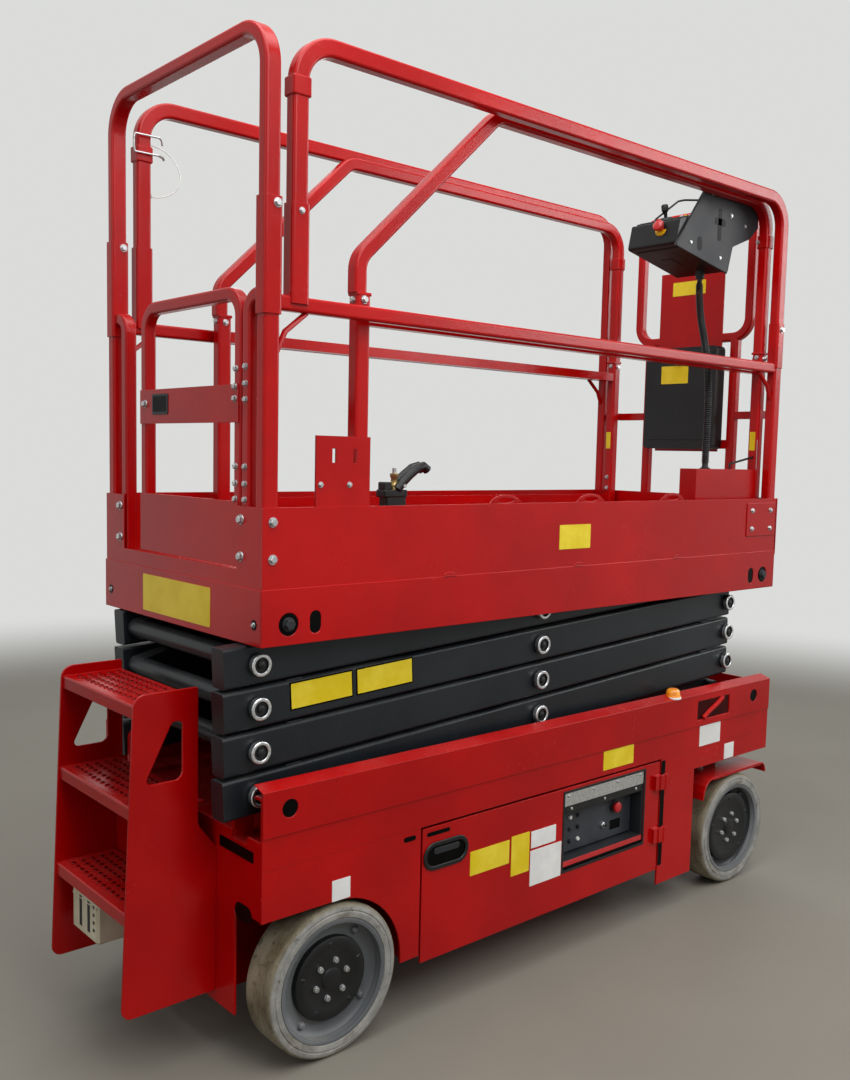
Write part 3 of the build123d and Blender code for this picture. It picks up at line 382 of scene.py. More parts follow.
def rubber(name, axleX, axleZ, radius):  # pale solid tyre, dirty where it rolls
    finish, graph, place = newFinish(name)
    x, y, z = graph.split(place)
    away = ((x - axleX) ** 2 + (z - axleZ) ** 2) ** 0.5
    tread = away.ramp(radius - 0.010, radius - 0.002)
    turned = graph.add("ShaderNodeCombineXYZ", None, {
        0: x.math("ARCTAN2", x - axleX, z - axleZ) * 0.16, 1: y, 2: away})
    smears = graph.noise(turned, 16.0, 6.0, 0.7, (0.5, 1.0, 1.0))
    blotches = graph.noise(place, 18.0, 5.0, 0.7)
    clean = graph.mix(blotches.ramp(0.35, 0.7), colour("807f7a"), colour("a09e98"))
    clean = graph.mix(smears.ramp(0.50, 0.66) * 0.75, clean, colour("5d5446"))
    clean = graph.mix(graph.noise(place, 75.0, 5.0, 0.7).ramp(0.60, 0.68) * 0.7, clean, colour("4a4338"))
    dirty = graph.mix(smears.ramp(0.35, 0.65), colour("5f553f"), colour("8e8672"))
    dirty = graph.mix(graph.noise(turned, 60.0, 5.0, 0.7).ramp(0.56, 0.66) * 0.8, dirty, colour("3d3427"))
    tone = graph.mix(tread, clean, dirty)
    crumb = graph.noise(place, 260.0, 3.0, 0.6)
    pits = graph.noise(turned, 90.0, 4.0, 0.7).ramp(0.6, 0.72) * tread
    return close(finish, graph, {"Base Color": tone, "Roughness": 0.72 + blotches * 0.12,
                                 "Normal": bumped(graph, crumb * 0.4 - pits, 0.0008)})


def amber(name):
    finish, graph, place = newFinish(name)
    glow = graph.noise(place, 55.0, 2.0, 0.5)
    tone = graph.mix(glow.ramp(0.3, 0.7), colour("e07c08"), colour("f6a01a"))
    return close(finish, graph, {"Base Color": tone, "Roughness": 0.12, "Coat Weight": 0.6, "IOR": 1.49,
                                 "Emission Color": tone, "Emission Strength": 0.12,
                                 "Normal": bumped(graph, glow, 0.0002)})


wheelSize = {"radius": 0.176, "width": 0.1, "axleZ": 0.176, "centreY": chassisY - 0.05,
             "rearX": station(0.195), "frontX": station(1.779)}
filmLooks = {  # new, faded, shine
    "yellow": ("dcc112", "e9d23a", 0.35), "white": ("dddddb", "ececea", 0.35),
    # black is also the painted shade put in holes, slots and gaps; shadowRed is painted shade in the chassis
    # pocket
    "black": ("020202", "060606", 0.06), "shadowRed": ("2a0304", "3d0606", 0.06),
}
finishes = {"amber_lens": amber("amberLens")}
for end in ("rear", "front"):
    finishes["tyre_" + end] = rubber(end + "TyreRubber", wheelSize[end + "X"], wheelSize["axleZ"],
                                     wheelSize["radius"])
for kind, looks in ((paint, paintLooks), (metal, metalLooks), (plastic, plasticLooks)):
    for name, chosen in looks.items():
        first, *rest = name.split("_")
        finishes[name] = kind(first + "".join(map(str.title, rest)) + "Finish", chosen)
for name, (new, faded, shine) in filmLooks.items():
    finishes[name] = vinyl(name + "Film", colour(new), colour(faded), shine)

# nodes that leave their slot's finish
cadFinish = dict.fromkeys(("ground_panel_right", "ground_panel_left", "control_bracket"), "battery")
for name, node in frame["nodes"].items():
    for place in node.material_slots:
        given = place.material.name.split(".")[0]
        if name.startswith("tyre"):
            given = "tyre_front" if "front" in name else "tyre_rear"
        place.material = finishes[cadFinish.get(name, given)]
print("finishes made:", len(finishes))


# --- mesh building ---

facing = {  # a side's axes: across, up, out
    "right": ((1, 0, 0), (0, 0, 1), (0, -1, 0)), "left": ((-1, 0, 0), (0, 0, 1), (0, 1, 0)),
    "rear": ((0, -1, 0), (0, 0, 1), (-1, 0, 0)), "front": ((0, 1, 0), (0, 0, 1), (1, 0, 0)),
}


def on(side, x, y, z):  # place of a shape drawn flat that looks out from one side
    return Matrix.Translation((x, y, z)) @ Matrix(facing[side]).transposed().to_4x4()


def rectangle(low, high, bottom, top, corner=0.0):
    corners = [(low, bottom), (high, bottom), (high, top), (low, top)]
    return softened(corners, corner) if corner else corners


def inset(area, *rims):  # limits drawn in, by one rim or by four
    left, right, bottom, top = rims if len(rims) == 4 else rims * 4
    return area[0] + left, area[1] - right, area[2] + bottom, area[3] - top


def arc(x, z, wide, tall, sweep, count):  # points along part of an ellipse
    angles = [sweep * k / (count - 1) for k in range(count)]
    return [(x + wide * math.cos(angle), z + tall * math.sin(angle)) for angle in angles]


def ellipse(x, z, wide, tall, steps):
    return arc(x, z, wide, tall, math.tau * (steps - 1) / steps, steps)


def circle(x, z, radius, steps=24):
    return ellipse(x, z, radius, radius, steps)


def drum(radius, top, rim, drop, base=0.0):  # a lathe profile: a low drum with its rim cut
    return [(0.0, top), (radius - rim, top), (radius, top - drop), (radius, base), (0.0, base)]


def oval(low, high, bottom, top):
    return rectangle(low, high, bottom, top, 0.499 * min(high - low, top - bottom))


def softened(corners, radius, steps=5):  # a flat outline with rounded corners
    loop, count = [], len(corners)
    for i in range(count):
        here, before, after = (Vector(corners[k % count]) for k in (i, i - 1, i + 1))
        size = radius[i] if isinstance(radius, (list, tuple)) else radius
        if size <= 0:
            loop.append(tuple(here))
            continue
        into, out = (before - here).normalized(), (after - here).normalized()
        half = into.angle(out) / 2
        middle = here + (into + out).normalized() * (size / math.sin(half))
        first = here + into * (size / math.tan(half)) - middle
        last = here + out * (size / math.tan(half)) - middle
        sweep = first.angle_signed(last)
        for k in range(steps + 1):
            loop.append(tuple(middle + Matrix.Rotation(-sweep * k / steps, 2) @ first))
    return loop


def cornered(rows):  # an outline from rows of distance ahead of the platform's rear face, height and corner
    return softened([(station(x), z) for x, z, corner in rows], [corner for x, z, corner in rows])


def alongLine(first, second, y=0.0):  # place at the middle of a sloping line, with X along it
    (xa, za), (xb, zb) = first, second
    turn = Matrix.Rotation(-math.atan2(zb - za, xb - xa), 4, "Y")
    return Matrix.Translation(((xa + xb) / 2, y, (za + zb) / 2)) @ turn


class Form:  # one piece's mesh, built where it stands
    def __init__(self, finish):
        self.mesh = bmesh.new()
        self.finishes = []
        self.use(finish)

    def use(self, finish):  # finish of what is added next
        if finish not in self.finishes:
            self.finishes.append(finish)
        self.layer = self.finishes.index(finish)
        return self

    def add(self, part, place=None):
        if place is not None:
            part.transform(place)
        bmesh.ops.remove_doubles(part, verts=part.verts[:], dist=1e-6)
        bmesh.ops.recalc_face_normals(part, faces=part.faces[:])
        for face in part.faces:
            face.material_index = self.layer
        holder = bpy.data.meshes.new("part")
        part.to_mesh(holder)
        part.free()
        self.mesh.from_mesh(holder)
        bpy.data.meshes.remove(holder)
        return self

    def block(self, low, high, edge=0.001, place=None):
        part = bmesh.new()
        bmesh.ops.create_cube(part, size=1.0)
        low, high = Vector(low), Vector(high)
        part.transform(Matrix.Translation((low + high) / 2) @ Matrix.Diagonal((*(high - low), 1)))
        if edge:
            bmesh.ops.bevel(part, geom=part.edges[:], offset=edge, segments=1, affect="EDGES")
        return self.add(part, place)

    def edged(self, side, low, high, edge=0.001, place=None):  # a block whose Y runs outwards on one side
        y0, y1 = sorted((side * low[1], side * high[1]))
        return self.block((low[0], y0, low[2]), (high[0], y1, high[2]), edge, place)

    def turned(self, profile, place, steps=32, flute=0.0, closed=False):
        # a lathe shape from (radius, height) pairs; flute draws every other side in
        part = bmesh.new()
        rings = []
        for radius, height in profile:
            if radius < 1e-6:
                rings.append([part.verts.new((0, 0, height))])
                continue
            spokes = [(math.tau * k / steps, radius * (1 - flute * (k % 2))) for k in range(steps)]
            rings.append([part.verts.new((r * math.cos(a), r * math.sin(a), height)) for a, r in spokes])
        if closed:
            rings.append(rings[0])
        for lower, upper in zip(rings, rings[1:]):
            for k in range(steps):
                corners = (lower[k % len(lower)], lower[(k + 1) % len(lower)],
                           upper[(k + 1) % len(upper)], upper[k % len(upper)])
                corners = list(dict.fromkeys(corners))
                if len(corners) > 2:
                    part.faces.new(corners)
        return self.add(part, place)

    def sheet(self, side, plane, loops, thick, edge=0.0):
        # outlines in two of the machine's coordinates, raised from a plane; after the first come the holes
        flat = bpy.data.curves.new("outline", "CURVE")
        flat.dimensions, flat.fill_mode = "2D", "BOTH"
        flat.extrude, flat.bevel_depth, flat.offset = thick / 2 - edge, edge, -edge
        flat.bevel_resolution = 0
        for loop in loops:
            spline = flat.splines.new("POLY")
            spline.points.add(len(loop) - 1)
            for point, (u, v) in zip(spline.points, loop):
                point.co = (u * sum(facing[side][0]), v, 0, 1)
            spline.use_cyclic_u = True
        holder = bpy.data.objects.new("outline", flat)
        mesh = bpy.data.meshes.new_from_object(holder)
        part = bmesh.new()
        part.from_mesh(mesh)
        bpy.data.objects.remove(holder)
        bpy.data.curves.remove(flat)
        bpy.data.meshes.remove(mesh)
        spot = [abs(axis) * plane for axis in facing[side][2]]
        return self.add(part, on(side, *spot) @ Matrix.Translation((0, 0, thick / 2)))

    def film(self, finish, side, plane, loop, thick=0.0006):  # a thin blank plate, or a dark patch; the black patches mostly stand for painted shade in holes, slots and gaps
        return self.use(finish).sheet(side, plane, [loop], thick)

    def bar(self, points, radius, sides=10, place=None, flat=1.0):
        # a round bar through points; flat squeezes its section
        part = bmesh.new()
        points = [Vector(point) for point in points]
        frames, last = [], None
        for i, point in enumerate(points):
            ahead = (points[min(i + 1, len(points) - 1)] - points[max(i - 1, 0)]).normalized()
            if last is None:
                last = ahead.orthogonal().normalized()
            last = (last - ahead * last.dot(ahead)).normalized()
            frames.append((point, last, ahead.cross(last)))
        angles = [math.tau * k / sides for k in range(sides)]
        rings = [[part.verts.new(point + (u * math.cos(angle) * flat + v * math.sin(angle)) * radius)
                  for angle in angles] for point, u, v in frames]
        for lower, upper in zip(rings, rings[1:]):
            for k in range(sides):
                part.faces.new((lower[k], lower[(k + 1) % sides], upper[(k + 1) % sides], upper[k]))
        part.faces.new(rings[0])
        part.faces.new(rings[-1])
        return self.add(part, place)

    def done(self, name, body, slotName, smooth=35):
        mesh = bpy.data.meshes.new(name)
        self.mesh.to_mesh(mesh)
        self.mesh.free()
        for finish in self.finishes:
            mesh.materials.append(finishes[finish])
        return placed(name, mesh, body, smooth)


def placed(name, mesh, body, smooth=35):
    mesh.polygons.foreach_set("use_smooth", [True] * len(mesh.polygons))
    mesh.set_sharp_from_angle(angle=math.radians(smooth))
    piece = bpy.data.objects.new(name, mesh)
    bpy.context.collection.objects.link(piece)
    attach(piece, body)
    return piece


# --- geometry nodes: bolts at marked places, and raised patterns on treads ---

def newTree(name, sizes):
    tree = bpy.data.node_groups.new(name, "GeometryNodeTree")
    tree.interface.new_socket("Places", in_out="INPUT", socket_type="NodeSocketGeometry")
    tree.interface.new_socket("Result", in_out="OUTPUT", socket_type="NodeSocketGeometry")
    for size in sizes:
        tree.interface.new_socket(size, in_out="INPUT", socket_type="NodeSocketFloat")
    tree.interface.new_socket("Finish", in_out="INPUT", socket_type="NodeSocketMaterial")
    graph = Graph(tree)
    start = tree.nodes.new("NodeGroupInput")
    return graph, {socket.name: Wire(graph, socket) for socket in start.outputs if socket.name}


def endTree(graph, shape, finish):
    real = graph.add("GeometryNodeRealizeInstances", None, {0: shape})
    link(graph, "NodeGroupOutput", graph.add("GeometryNodeSetMaterial", None, {0: real, "Material": finish}))
    return graph.tree


def joined(graph, *shapes):
    node = graph.tree.nodes.new("GeometryNodeJoinGeometry")
    for shape in shapes:
        graph.tree.links.new(shape.socket, node.inputs[0])
    return Wire(graph, node.outputs[0])


def boltTree():  # a washer, a six-sided head and its chamfer, facing along each place's "aim"
    graph, given = newTree("bolts", ["Head Width", "Head Height", "Washer Width", "Washer Height", "Sides"])
    head, washer = given["Head Width"] * 0.5774, given["Washer Width"] * 0.5

    def layer(sides, base, lower, upper, height):
        shape = graph.add("GeometryNodeMeshCone", None, {
            "Vertices": sides, "Radius Bottom": lower, "Radius Top": upper, "Depth": height})
        lift = graph.add("ShaderNodeCombineXYZ", None, {2: base})
        return graph.add("GeometryNodeTransform", None, {"Geometry": shape, "Translation": lift})

    sides, top = given["Sides"], given["Head Height"]
    whole = joined(graph,
                   layer(20, 0.0, washer, washer * 0.96, given["Washer Height"]),
                   layer(sides, given["Washer Height"] * 0.8, head, head, top * 0.75),
                   layer(sides, given["Washer Height"] * 0.8 + top * 0.75, head, head * 0.82, top * 0.25))
    aim = graph.add("GeometryNodeInputNamedAttribute", {"data_type": "FLOAT_VECTOR"}, {"Name": "aim"})
    turn = graph.add("FunctionNodeAlignRotationToVector", {"axis": "Z"}, {"Vector": aim})
    size = graph.add("GeometryNodeInputNamedAttribute", {"data_type": "FLOAT"}, {"Name": "size"})
    bolts = graph.add("GeometryNodeInstanceOnPoints", None, {
        "Points": given["Places"], "Instance": whole, "Rotation": turn, "Scale": size})
    return endTree(graph, bolts, given["Finish"])


def treadTree():  # rows of raised studs on a flat patch, every other row set off and turned the other way
    graph, given = newTree("treads", ["Length", "Width", "Pitch", "Stud Length", "Stud Width", "Stud Height",
                                      "Turn"])
    stud = graph.add("GeometryNodeMeshCone", None, {
        "Vertices": 8, "Radius Bottom": 0.5, "Radius Top": 0.3, "Depth": 1.0})
    rows = []
    for shift, way in ((0.0, 1.0), (0.5, -1.0)):
        spans = {}
        for axis, reach in (("X", given["Length"]), ("Y", given["Width"])):
            count = reach / given["Pitch"] - (1 + shift)
            gaps = count.math("FLOOR", count)
            spans["Size " + axis], spans["Vertices " + axis] = gaps * given["Pitch"], gaps + 1
        grid = graph.add("GeometryNodeMeshGrid", None, spans)
        scale = graph.add("ShaderNodeCombineXYZ", None, {
            0: given["Stud Length"], 1: given["Stud Width"], 2: given["Stud Height"]})
        turn = graph.add("ShaderNodeCombineXYZ", None, {2: given["Turn"] * way})
        rows.append(graph.add("GeometryNodeInstanceOnPoints", None, {
            "Points": grid, "Instance": stud, "Rotation": turn, "Scale": scale}))
    patch = joined(graph, *rows)
    spread = graph.add("GeometryNodeInstanceOnPoints", None, {"Points": given["Places"], "Instance": patch})
    return endTree(graph, spread, given["Finish"])


trees = {"bolts": boltTree(), "treads": treadTree()}


def grown(name, tree, places, values, body, aims=None, sizes=None):
    base = bpy.data.meshes.new(name)
    base.from_pydata(places, [], [])
    if aims:
        aimed = base.attributes.new("aim", "FLOAT_VECTOR", "POINT")
        aimed.data.foreach_set("vector", [part for aim in aims for part in aim])
        base.attributes.new("size", "FLOAT", "POINT").data.foreach_set("value", sizes)
    holder = bpy.data.objects.new(name, base)
    bpy.context.collection.objects.link(holder)
    grow = holder.modifiers.new("grow", "NODES")
    grow.node_group = trees[tree]
    for item in trees[tree].interface.items_tree:
        if item.in_out == "INPUT" and item.name in values:
            grow[item.identifier] = values[item.name]
    mesh = bpy.data.meshes.new_from_object(holder.evaluated_get(bpy.context.evaluated_depsgraph_get()))
    bpy.data.objects.remove(holder)
    mesh.name = name
    return placed(name, mesh, body)


boltSize = {"Head Width": 0.017, "Head Height": 0.007, "Washer Width": 0.024, "Washer Height": 0.002,
            "Sides": 6.0}


def bolts(name, body, marks, head=None, height=None, washer=None, finish="steel", **changes):
    # marks: (side that it faces, x, y, z) and, for another size, a scale
    given = {"Head Width": head, "Head Height": height, "Washer Width": washer}
    chosen = {key: value for key, value in given.items() if value is not None}
    values = {**boltSize, **chosen, **changes, "Finish": finishes[finish]}
    grown(name, "bolts", [mark[1:4] for mark in marks], values, body,
          [facing[mark[0]][2] for mark in marks], [mark[4] if len(mark) > 4 else 1.0 for mark in marks])


def treads(name, body, spot, length, width, studs):
    values = {**studs, "Length": length, "Width": width, "Finish": finishes["red_paint"]}
    grown(name, "treads", spot, values, body)


# --- cords ---

def routeCurve(name, route):
    curve = bpy.data.curves.new(name, "CURVE")
    curve.dimensions, curve.resolution_u = "3D", 16
    spline = curve.splines.new("NURBS")
    spline.points.add(len(route) - 1)
    for point, place in zip(spline.points, route):
        point.co = (*place, 1)
    spline.order_u, spline.use_endpoint_u = 3, True
    return curve


def routeLine(curve):  # points down the middle of a route's smooth line, and its length
    holder = bpy.data.objects.new("line", curve)
    mesh = bpy.data.meshes.new_from_object(holder)
    points = [vertex.co.copy() for vertex in mesh.vertices]
    bpy.data.objects.remove(holder)
    bpy.data.meshes.remove(mesh)
    return points, sum((b - a).length for a, b in zip(points, points[1:]))


curlyCable = {
    "route": [(0.8325, -0.200, 1.932), (0.8325, -0.200, 1.845), (0.8115, -0.255, 1.690),
              (0.7915, -0.281, 1.560), (0.7795, -0.288, 1.420), (0.7795, -0.288, 1.333)],
    "outside": 0.024, "cord": 0.0058, "pitch": 0.0066, "stepsPerTurn": 14,
    "plain": 0.02, "narrow": 0.15,  # the ends run in over this length, to this share of the coil
    "gland": [(0.0, 0.004), (0.0085, 0.004), (0.0085, -0.004), (0.0065, -0.012), (0.0060, -0.015),
              (0.0052, -0.026), (0.0040, -0.034), (0.0, -0.034)],
    "foot": [(0.0, 0.0), (0.016, 0.0), (0.016, 0.003), (0.0105, 0.0045), (0.0095, 0.012), (0.006, 0.026),
             (0.0, 0.026)],
}


def makeCurlyCable():
    size, route = curlyCable, curlyCable["route"]
    line, total = routeLine(routeCurve("cableRoute", route))
    reach, travelled, marks = (size["outside"] - size["cord"]) / 2, 0.0, []
    for a, b in zip(line, line[1:]):
        marks.append((travelled, a, b))
        travelled += (b - a).length
    steps = int(total / size["pitch"] * size["stepsPerTurn"])
    points, row = [], 0
    for k in range(steps + 1):
        along = min(total * k / steps, total - 1e-6)
        while row < len(marks) - 1 and marks[row + 1][0] <= along:
            row += 1
        start, a, b = marks[row]
        ahead = (b - a).normalized()
        side = (Vector((0, 1, 0)) - ahead * ahead.y).normalized()
        turn = math.tau * along / size["pitch"]
        ease = min(1.0, along / size["plain"], (total - along) / size["plain"])
        outwards = side * math.cos(turn) + ahead.cross(side) * math.sin(turn)
        wide = reach * (size["narrow"] + (1 - size["narrow"]) * ease)
        points.append(a.lerp(b, (along - start) / (b - a).length) + outwards * wide)
    cable = Form("black_plastic").bar(points, size["cord"] / 2, 6)
    cable = cable.done("curlyCable", "extension", "black_plastic", 60)
    glands = Form("black_plastic").turned(size["gland"], Matrix.Translation(route[0]), 20)
    glands.turned(size["foot"], Matrix.Translation(route[-1]), 20)
    ends = glands.done("cableGlands", "extension", "black_plastic")
    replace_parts(cable, "control_cable")


pinWire = {
    "route": [(-0.7745, 0.352, 2.122), (-0.7465, 0.352, 2.122), (-0.7125, 0.344, 2.102),
              (-0.6905, 0.338, 2.062), (-0.7005, 0.338, 2.018), (-0.7385, 0.352, 1.994),
              (-0.7745, 0.352, 1.994)],
    "thick": 0.003,
}


def makePinWire():
    curve = routeCurve("pinWire", pinWire["route"])
    total = routeLine(curve.copy())[1]
    curve.bevel_depth, curve.bevel_resolution = pinWire["thick"] / 2, 2
    curve.materials.append(finishes["whiteCoating"])
    wire = bpy.data.objects.new("pinWire", curve)
    bpy.context.collection.objects.link(wire)
    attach(wire, "platform")
    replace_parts(wire, "pin_lanyard")


makeCurlyCable()
makePinWire()
print("cords made")


# --- wheels ---

wheelForm = {
    "rim": 0.142, "hub": {"rear": 0.097, "front": 0.112},
    "disc": {"rear": "grey_paint", "front": "dark_paint"},
    "discY": 0.015, "hubY": 0.030,  # from the wheel's middle plane, outwards
    "shoulder": 0.011, "shoulderAngles": (8, 28, 48, 68, 84), "hubMarks": 5,
    "boltRing": 0.043, "bolts": 6, "studRing": 0.116, "studs": 4, "studTurn": 0.9,
    "stud": [(0.0, 0.010), (0.005, 0.0095), (0.0085, 0.0065), (0.0100, 0.001), (0.0100, -0.002),
             (0.0, -0.002)],
}


def makeWheel(end, name, side):
    size, body = wheelForm, f"wheel_{end}_{name}"
    place = on(name, wheelSize[end + "X"], side * wheelSize["centreY"], wheelSize["axleZ"])
    half, radius, rim, curve = wheelSize["width"] / 2, wheelSize["radius"], size["rim"], size["shoulder"]
    outer = [(rim, half - 0.004), (rim + 0.002, half - 0.001), (rim + 0.008, half), (rim + 0.014, half),
             (rim + 0.0155, half - 0.0016), (rim + 0.0175, half - 0.0016), (rim + 0.019, half - 0.0004)]
    outer += [(radius - curve * (1 - math.sin(a)), half - 0.0125 + 0.0115 * math.cos(a))
              for a in map(math.radians, size["shoulderAngles"])]
    outer += [(radius, half - 0.020), (radius, 0.0)]
    section = outer + [(r, -y) for r, y in reversed(outer[:-1])]
    tyre = Form("tyre_" + end).turned(section, place, 96, closed=True)
    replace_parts(tyre.done(f"tyreBody_{end}_{name}", body, "tyre_grey"), f"tyre_{end}_{name}")
    face, hubFace, disc, hub = half - 0.003, size["hubY"], size["discY"], size["hub"][end]
    lip = [(0.1305, 0.030), (0.1325, face - 0.003), (0.1345, face + 0.0005), (0.1375, face + 0.0015),
           (0.1418, face + 0.0015), (0.1418, face - 0.004), (0.134, face - 0.006), (0.132, 0.030)]
    dish = [(0.1325, 0.034), (0.1325, disc + 0.014), (0.127, disc + 0.0075), (0.120, disc + 0.005),
            (0.112, disc + 0.0035), (0.090, disc + 0.0035), (0.090, disc - 0.001), (0.1335, disc - 0.001)]
    cover = [(0.0, 0.0075), (0.020, 0.0075), (0.024, 0.006), (0.0255, 0.003), (0.032, 0.003),
             (hub - 0.030, 0.003), (hub - 0.026, 0.0045), (hub - 0.008, 0.0045), (hub - 0.002, 0.002),
             (hub, -0.004)]
    cover = [(r, hubFace + y) for r, y in cover] + [(hub, disc + 0.001), (0.0, disc + 0.001)]
    dress = Form("grey_paint").turned(lip, place, 72, closed=True)
    dress.use(size["disc"][end]).turned(dish, place, 72, closed=True)
    for k in range(size["studs"]):
        turn = Matrix.Rotation(math.tau * k / size["studs"] + size["studTurn"], 4, "Z")
        dress.turned(size["stud"], place @ turn @ Matrix.Translation((size["studRing"], 0, disc + 0.004)), 16)
    dress.use("black_plastic").turned(cover, place, 64)
    for k in range(size["hubMarks"]):  # raised marks round the hub's edge
        turn = Matrix.Rotation(math.tau * (k + 0.3) / size["hubMarks"], 4, "Z")
        dress.block((hub - 0.022, -0.004, hubFace), (hub - 0.011, 0.004, hubFace + 0.0062), 0.0012,
                    place @ turn)
    dress.done(f"wheelFace_{end}_{name}", body, "grey_paint")
    marks = []
    for k in range(size["bolts"]):
        angle, ring = math.tau * (k + 0.25) / size["bolts"], size["boltRing"]
        spot = Vector((ring * math.cos(angle), ring * math.sin(angle), hubFace + 0.0028))
        marks.append((name, *(place @ spot)))
    bolts(f"wheelBolts_{end}_{name}", body, marks, 0.012, 0.006, 0.015)


for name, side in sideOf.items():
    for end in ("rear", "front"):
        makeWheel(end, name, side)
print("wheels dressed")


# --- scissor stack ---

stack = {
    "levels": 4, "armLength": 1.752, "bossFace": 0.329, "beamFace": 0.314, "pinFace": 0.325,
    "ring": 0.0245, "bore": 0.0168, "cap": [(0.0, 0.0012), (0.0156, 0.0012), (0.0158, -0.001), (0.0, -0.001)],
    "padAt": 0.10, "padHalf": 0.02, "pad": ((0.272, 0.0435), (0.306, 0.0452)),  # on the beams' tops
    "plates": ((0.0815, 0.171), (0.262, 0.1695)), "plateZ": (-0.023, 0.040),  # start and width along a beam
}
liftPin = Vector(joints["lift"]["pos_m"])
pitch = joints["unfold_2"]["pos_m"][2] - liftPin.z
armRun = math.sqrt(stack["armLength"] ** 2 - pitch ** 2)


def armPins(level, rising):  # (x, z) of a beam's three pins, from the rear
    start, way = (level, 1) if rising else (level + 1, -1)
    return [(liftPin.x + armRun * t, liftPin.z + (start + way * t) * pitch) for t in (0, 0.5, 1)]


def alongArm(level):
    turn = Matrix.Rotation(-math.asin(pitch / stack["armLength"]), 4, "Y")
    return Matrix.Translation((liftPin.x, 0, liftPin.z + level * pitch)) @ turn


def makeStackPins():
    size, ring, bore = stack, stack["ring"], stack["bore"]
    eye = [(bore, -0.004), (bore, 0.001), (bore + 0.0012, 0.0022), (ring - 0.002, 0.0022), (ring, 0.0008),
           (ring, -0.010), (ring - 0.0012, -0.010), (ring - 0.0012, -0.004)]
    (y0, z0), (y1, z1) = size["pad"]
    for level in range(size["levels"]):
        rings, heads, marks = Form("ring"), Form("black_plastic"), []
        for name, side in sideOf.items():
            for x, z in armPins(level, True):
                rings.use("ring").turned(eye, on(name, x, side * size["bossFace"], z), 32, closed=True)
            for x, z in armPins(level, False)[:2 if level == 0 else 3]:
                spot = on(name, x, side * size["pinFace"], z)
                heads.turned(size["cap"], spot, 20)
                marks.append((name, *(spot @ Vector((0, 0, 0.001)))))
            for middle in (size["padAt"], size["armLength"] - size["padAt"]):
                a, b = middle - size["padHalf"], middle + size["padHalf"]
                rings.use("dark_paint").block((a, side * y0, z0), (b, side * y1, z1), 0.0006, alongArm(level))
        rings.done(f"pinRings_{level + 1}", f"outer_arms_{level + 1}", "steel")
        heads.done(f"pinCaps_{level + 1}", f"inner_arms_{level + 1}", "black_plastic")
        bolts(f"pinBolts_{level + 1}", f"inner_arms_{level + 1}", marks, 0.016, 0.004, 0.0, "black_plastic",
              **{"Washer Height": 0.0005})
    lowest, film = Form("black_plastic"), Form("black")
    (x, z), (low, high), face = armPins(0, True)[0], size["plateZ"], size["beamFace"]
    for name, side in sideOf.items():
        lowest.turned(size["cap"], on(name, x, side * size["pinFace"], z), 20)
        for start, width in size["plates"]:
            for finish, rim, thick in (("black", 0.0, 0.0006), ("yellow", 0.0035, 0.001)):
                a, b = (start + rim, face, low + rim), (start + width - rim, face + thick, high - rim)
                film.use(finish).edged(side, a, b, 0.0, alongArm(2))
    lowest.done("lowestPinCaps", "chassis", "black_plastic")
    film.done("armPlates", "outer_arms_3", "dark_paint")


makeStackPins()
print("scissor stack dressed")


# --- chassis ---

chassisForm = {
    "bandBottom": 0.547, "bandThick": 0.003, "flange": 0.038, "flangeRise": 18.0,
    "lashing": (0.068, 1.856), "lashingZ": 0.603, "lashingRadius": 0.020,
    "pocket": (0.664, 0.834, 0.566, 0.626), "slit": (-0.496, -0.459, 0.451, 0.463),
    "tie": ((0.030, 0.004), (0.058, 0.020), (0.104, 0.040), (0.132, 0.056)), "tieRadius": 0.0075,
    "beacons": ((0.5605, -0.362), (-0.3825, 0.362)),
    "lens": [(0.0, 0.0055), (0.0232, 0.0055), (0.0232, 0.0085), (0.0212, 0.010), (0.0206, 0.018),
             (0.0190, 0.0235), (0.0160, 0.0275), (0.0110, 0.0300), (0.0050, 0.0308), (0.0, 0.0309)],
    "plates": (("yellow", 0.225, 0.358, 0.4905, 0.5445), ("white", 0.683, 0.793, 0.4815, 0.5445),
               ("white", -0.701, -0.651, 0.364, 0.412), ("white", 0.822, 0.874, 0.4175, 0.467)),
    "hingeGap": (0.4945, 0.5135, 0.150, 0.470), "hole": (0.307, 0.034, 0.346, 0.384),
    "opening": (0.276, 0.070, 0.486, 0.511),  # the rear wall's holes: middle, half width, bottom, top
    "boltY": (-0.31, -0.17, 0.17, 0.31), "boltZ": (0.46, 0.60),
}


def makeBands():
    size, form = chassisForm, Form("red_paint")
    pocket, thick = size["pocket"], size["bandThick"]
    half, rise = size["flange"] / 2, math.radians(size["flangeRise"])
    lashings = [(station(distance), size["lashingZ"], size["lashingRadius"]) for distance in size["lashing"]]
    foldY, foldZ = chassisY + thick - half * math.cos(rise), chassisTopZ - 0.001 + half * math.sin(rise)
    loops = [rectangle(chassisLow.x, chassisHigh.x, size["bandBottom"], chassisTopZ, 0.002),
             rectangle(*pocket, 0.006)] + [circle(*lashing) for lashing in lashings]
    for name, side in sideOf.items():
        face = side * chassisY
        form.use("red_paint").sheet(name, face, loops, thick, 0.0009)
        fold = Matrix.Translation((0, side * foldY, foldZ)) @ Matrix.Rotation(-side * rise, 4, "X")
        form.block((chassisLow.x, -half, -0.0013), (chassisHigh.x, half, 0.0013), 0.0006, fold)  # folded top
        # black discs behind the lashing holes: painted shade inside the holes
        for x, z, radius in lashings:
            form.film("black", name, face, circle(x, z, radius + 0.001), 0.0008)
        form.film("shadowRed", name, face, rectangle(*inset(pocket, 0.002), 0.005), 0.0004)
        tie = [(pocket[0] + x, side * (chassisY + 0.002), pocket[2] + z) for x, z in size["tie"]]
        form.use("red_paint").bar(tie, size["tieRadius"], 10)  # tie-down bar across the pocket
        # black oval: painted shade inside the slit
        form.film("black", name, face, oval(*size["slit"]))
    form.done("sideBands", "chassis", "red_paint")


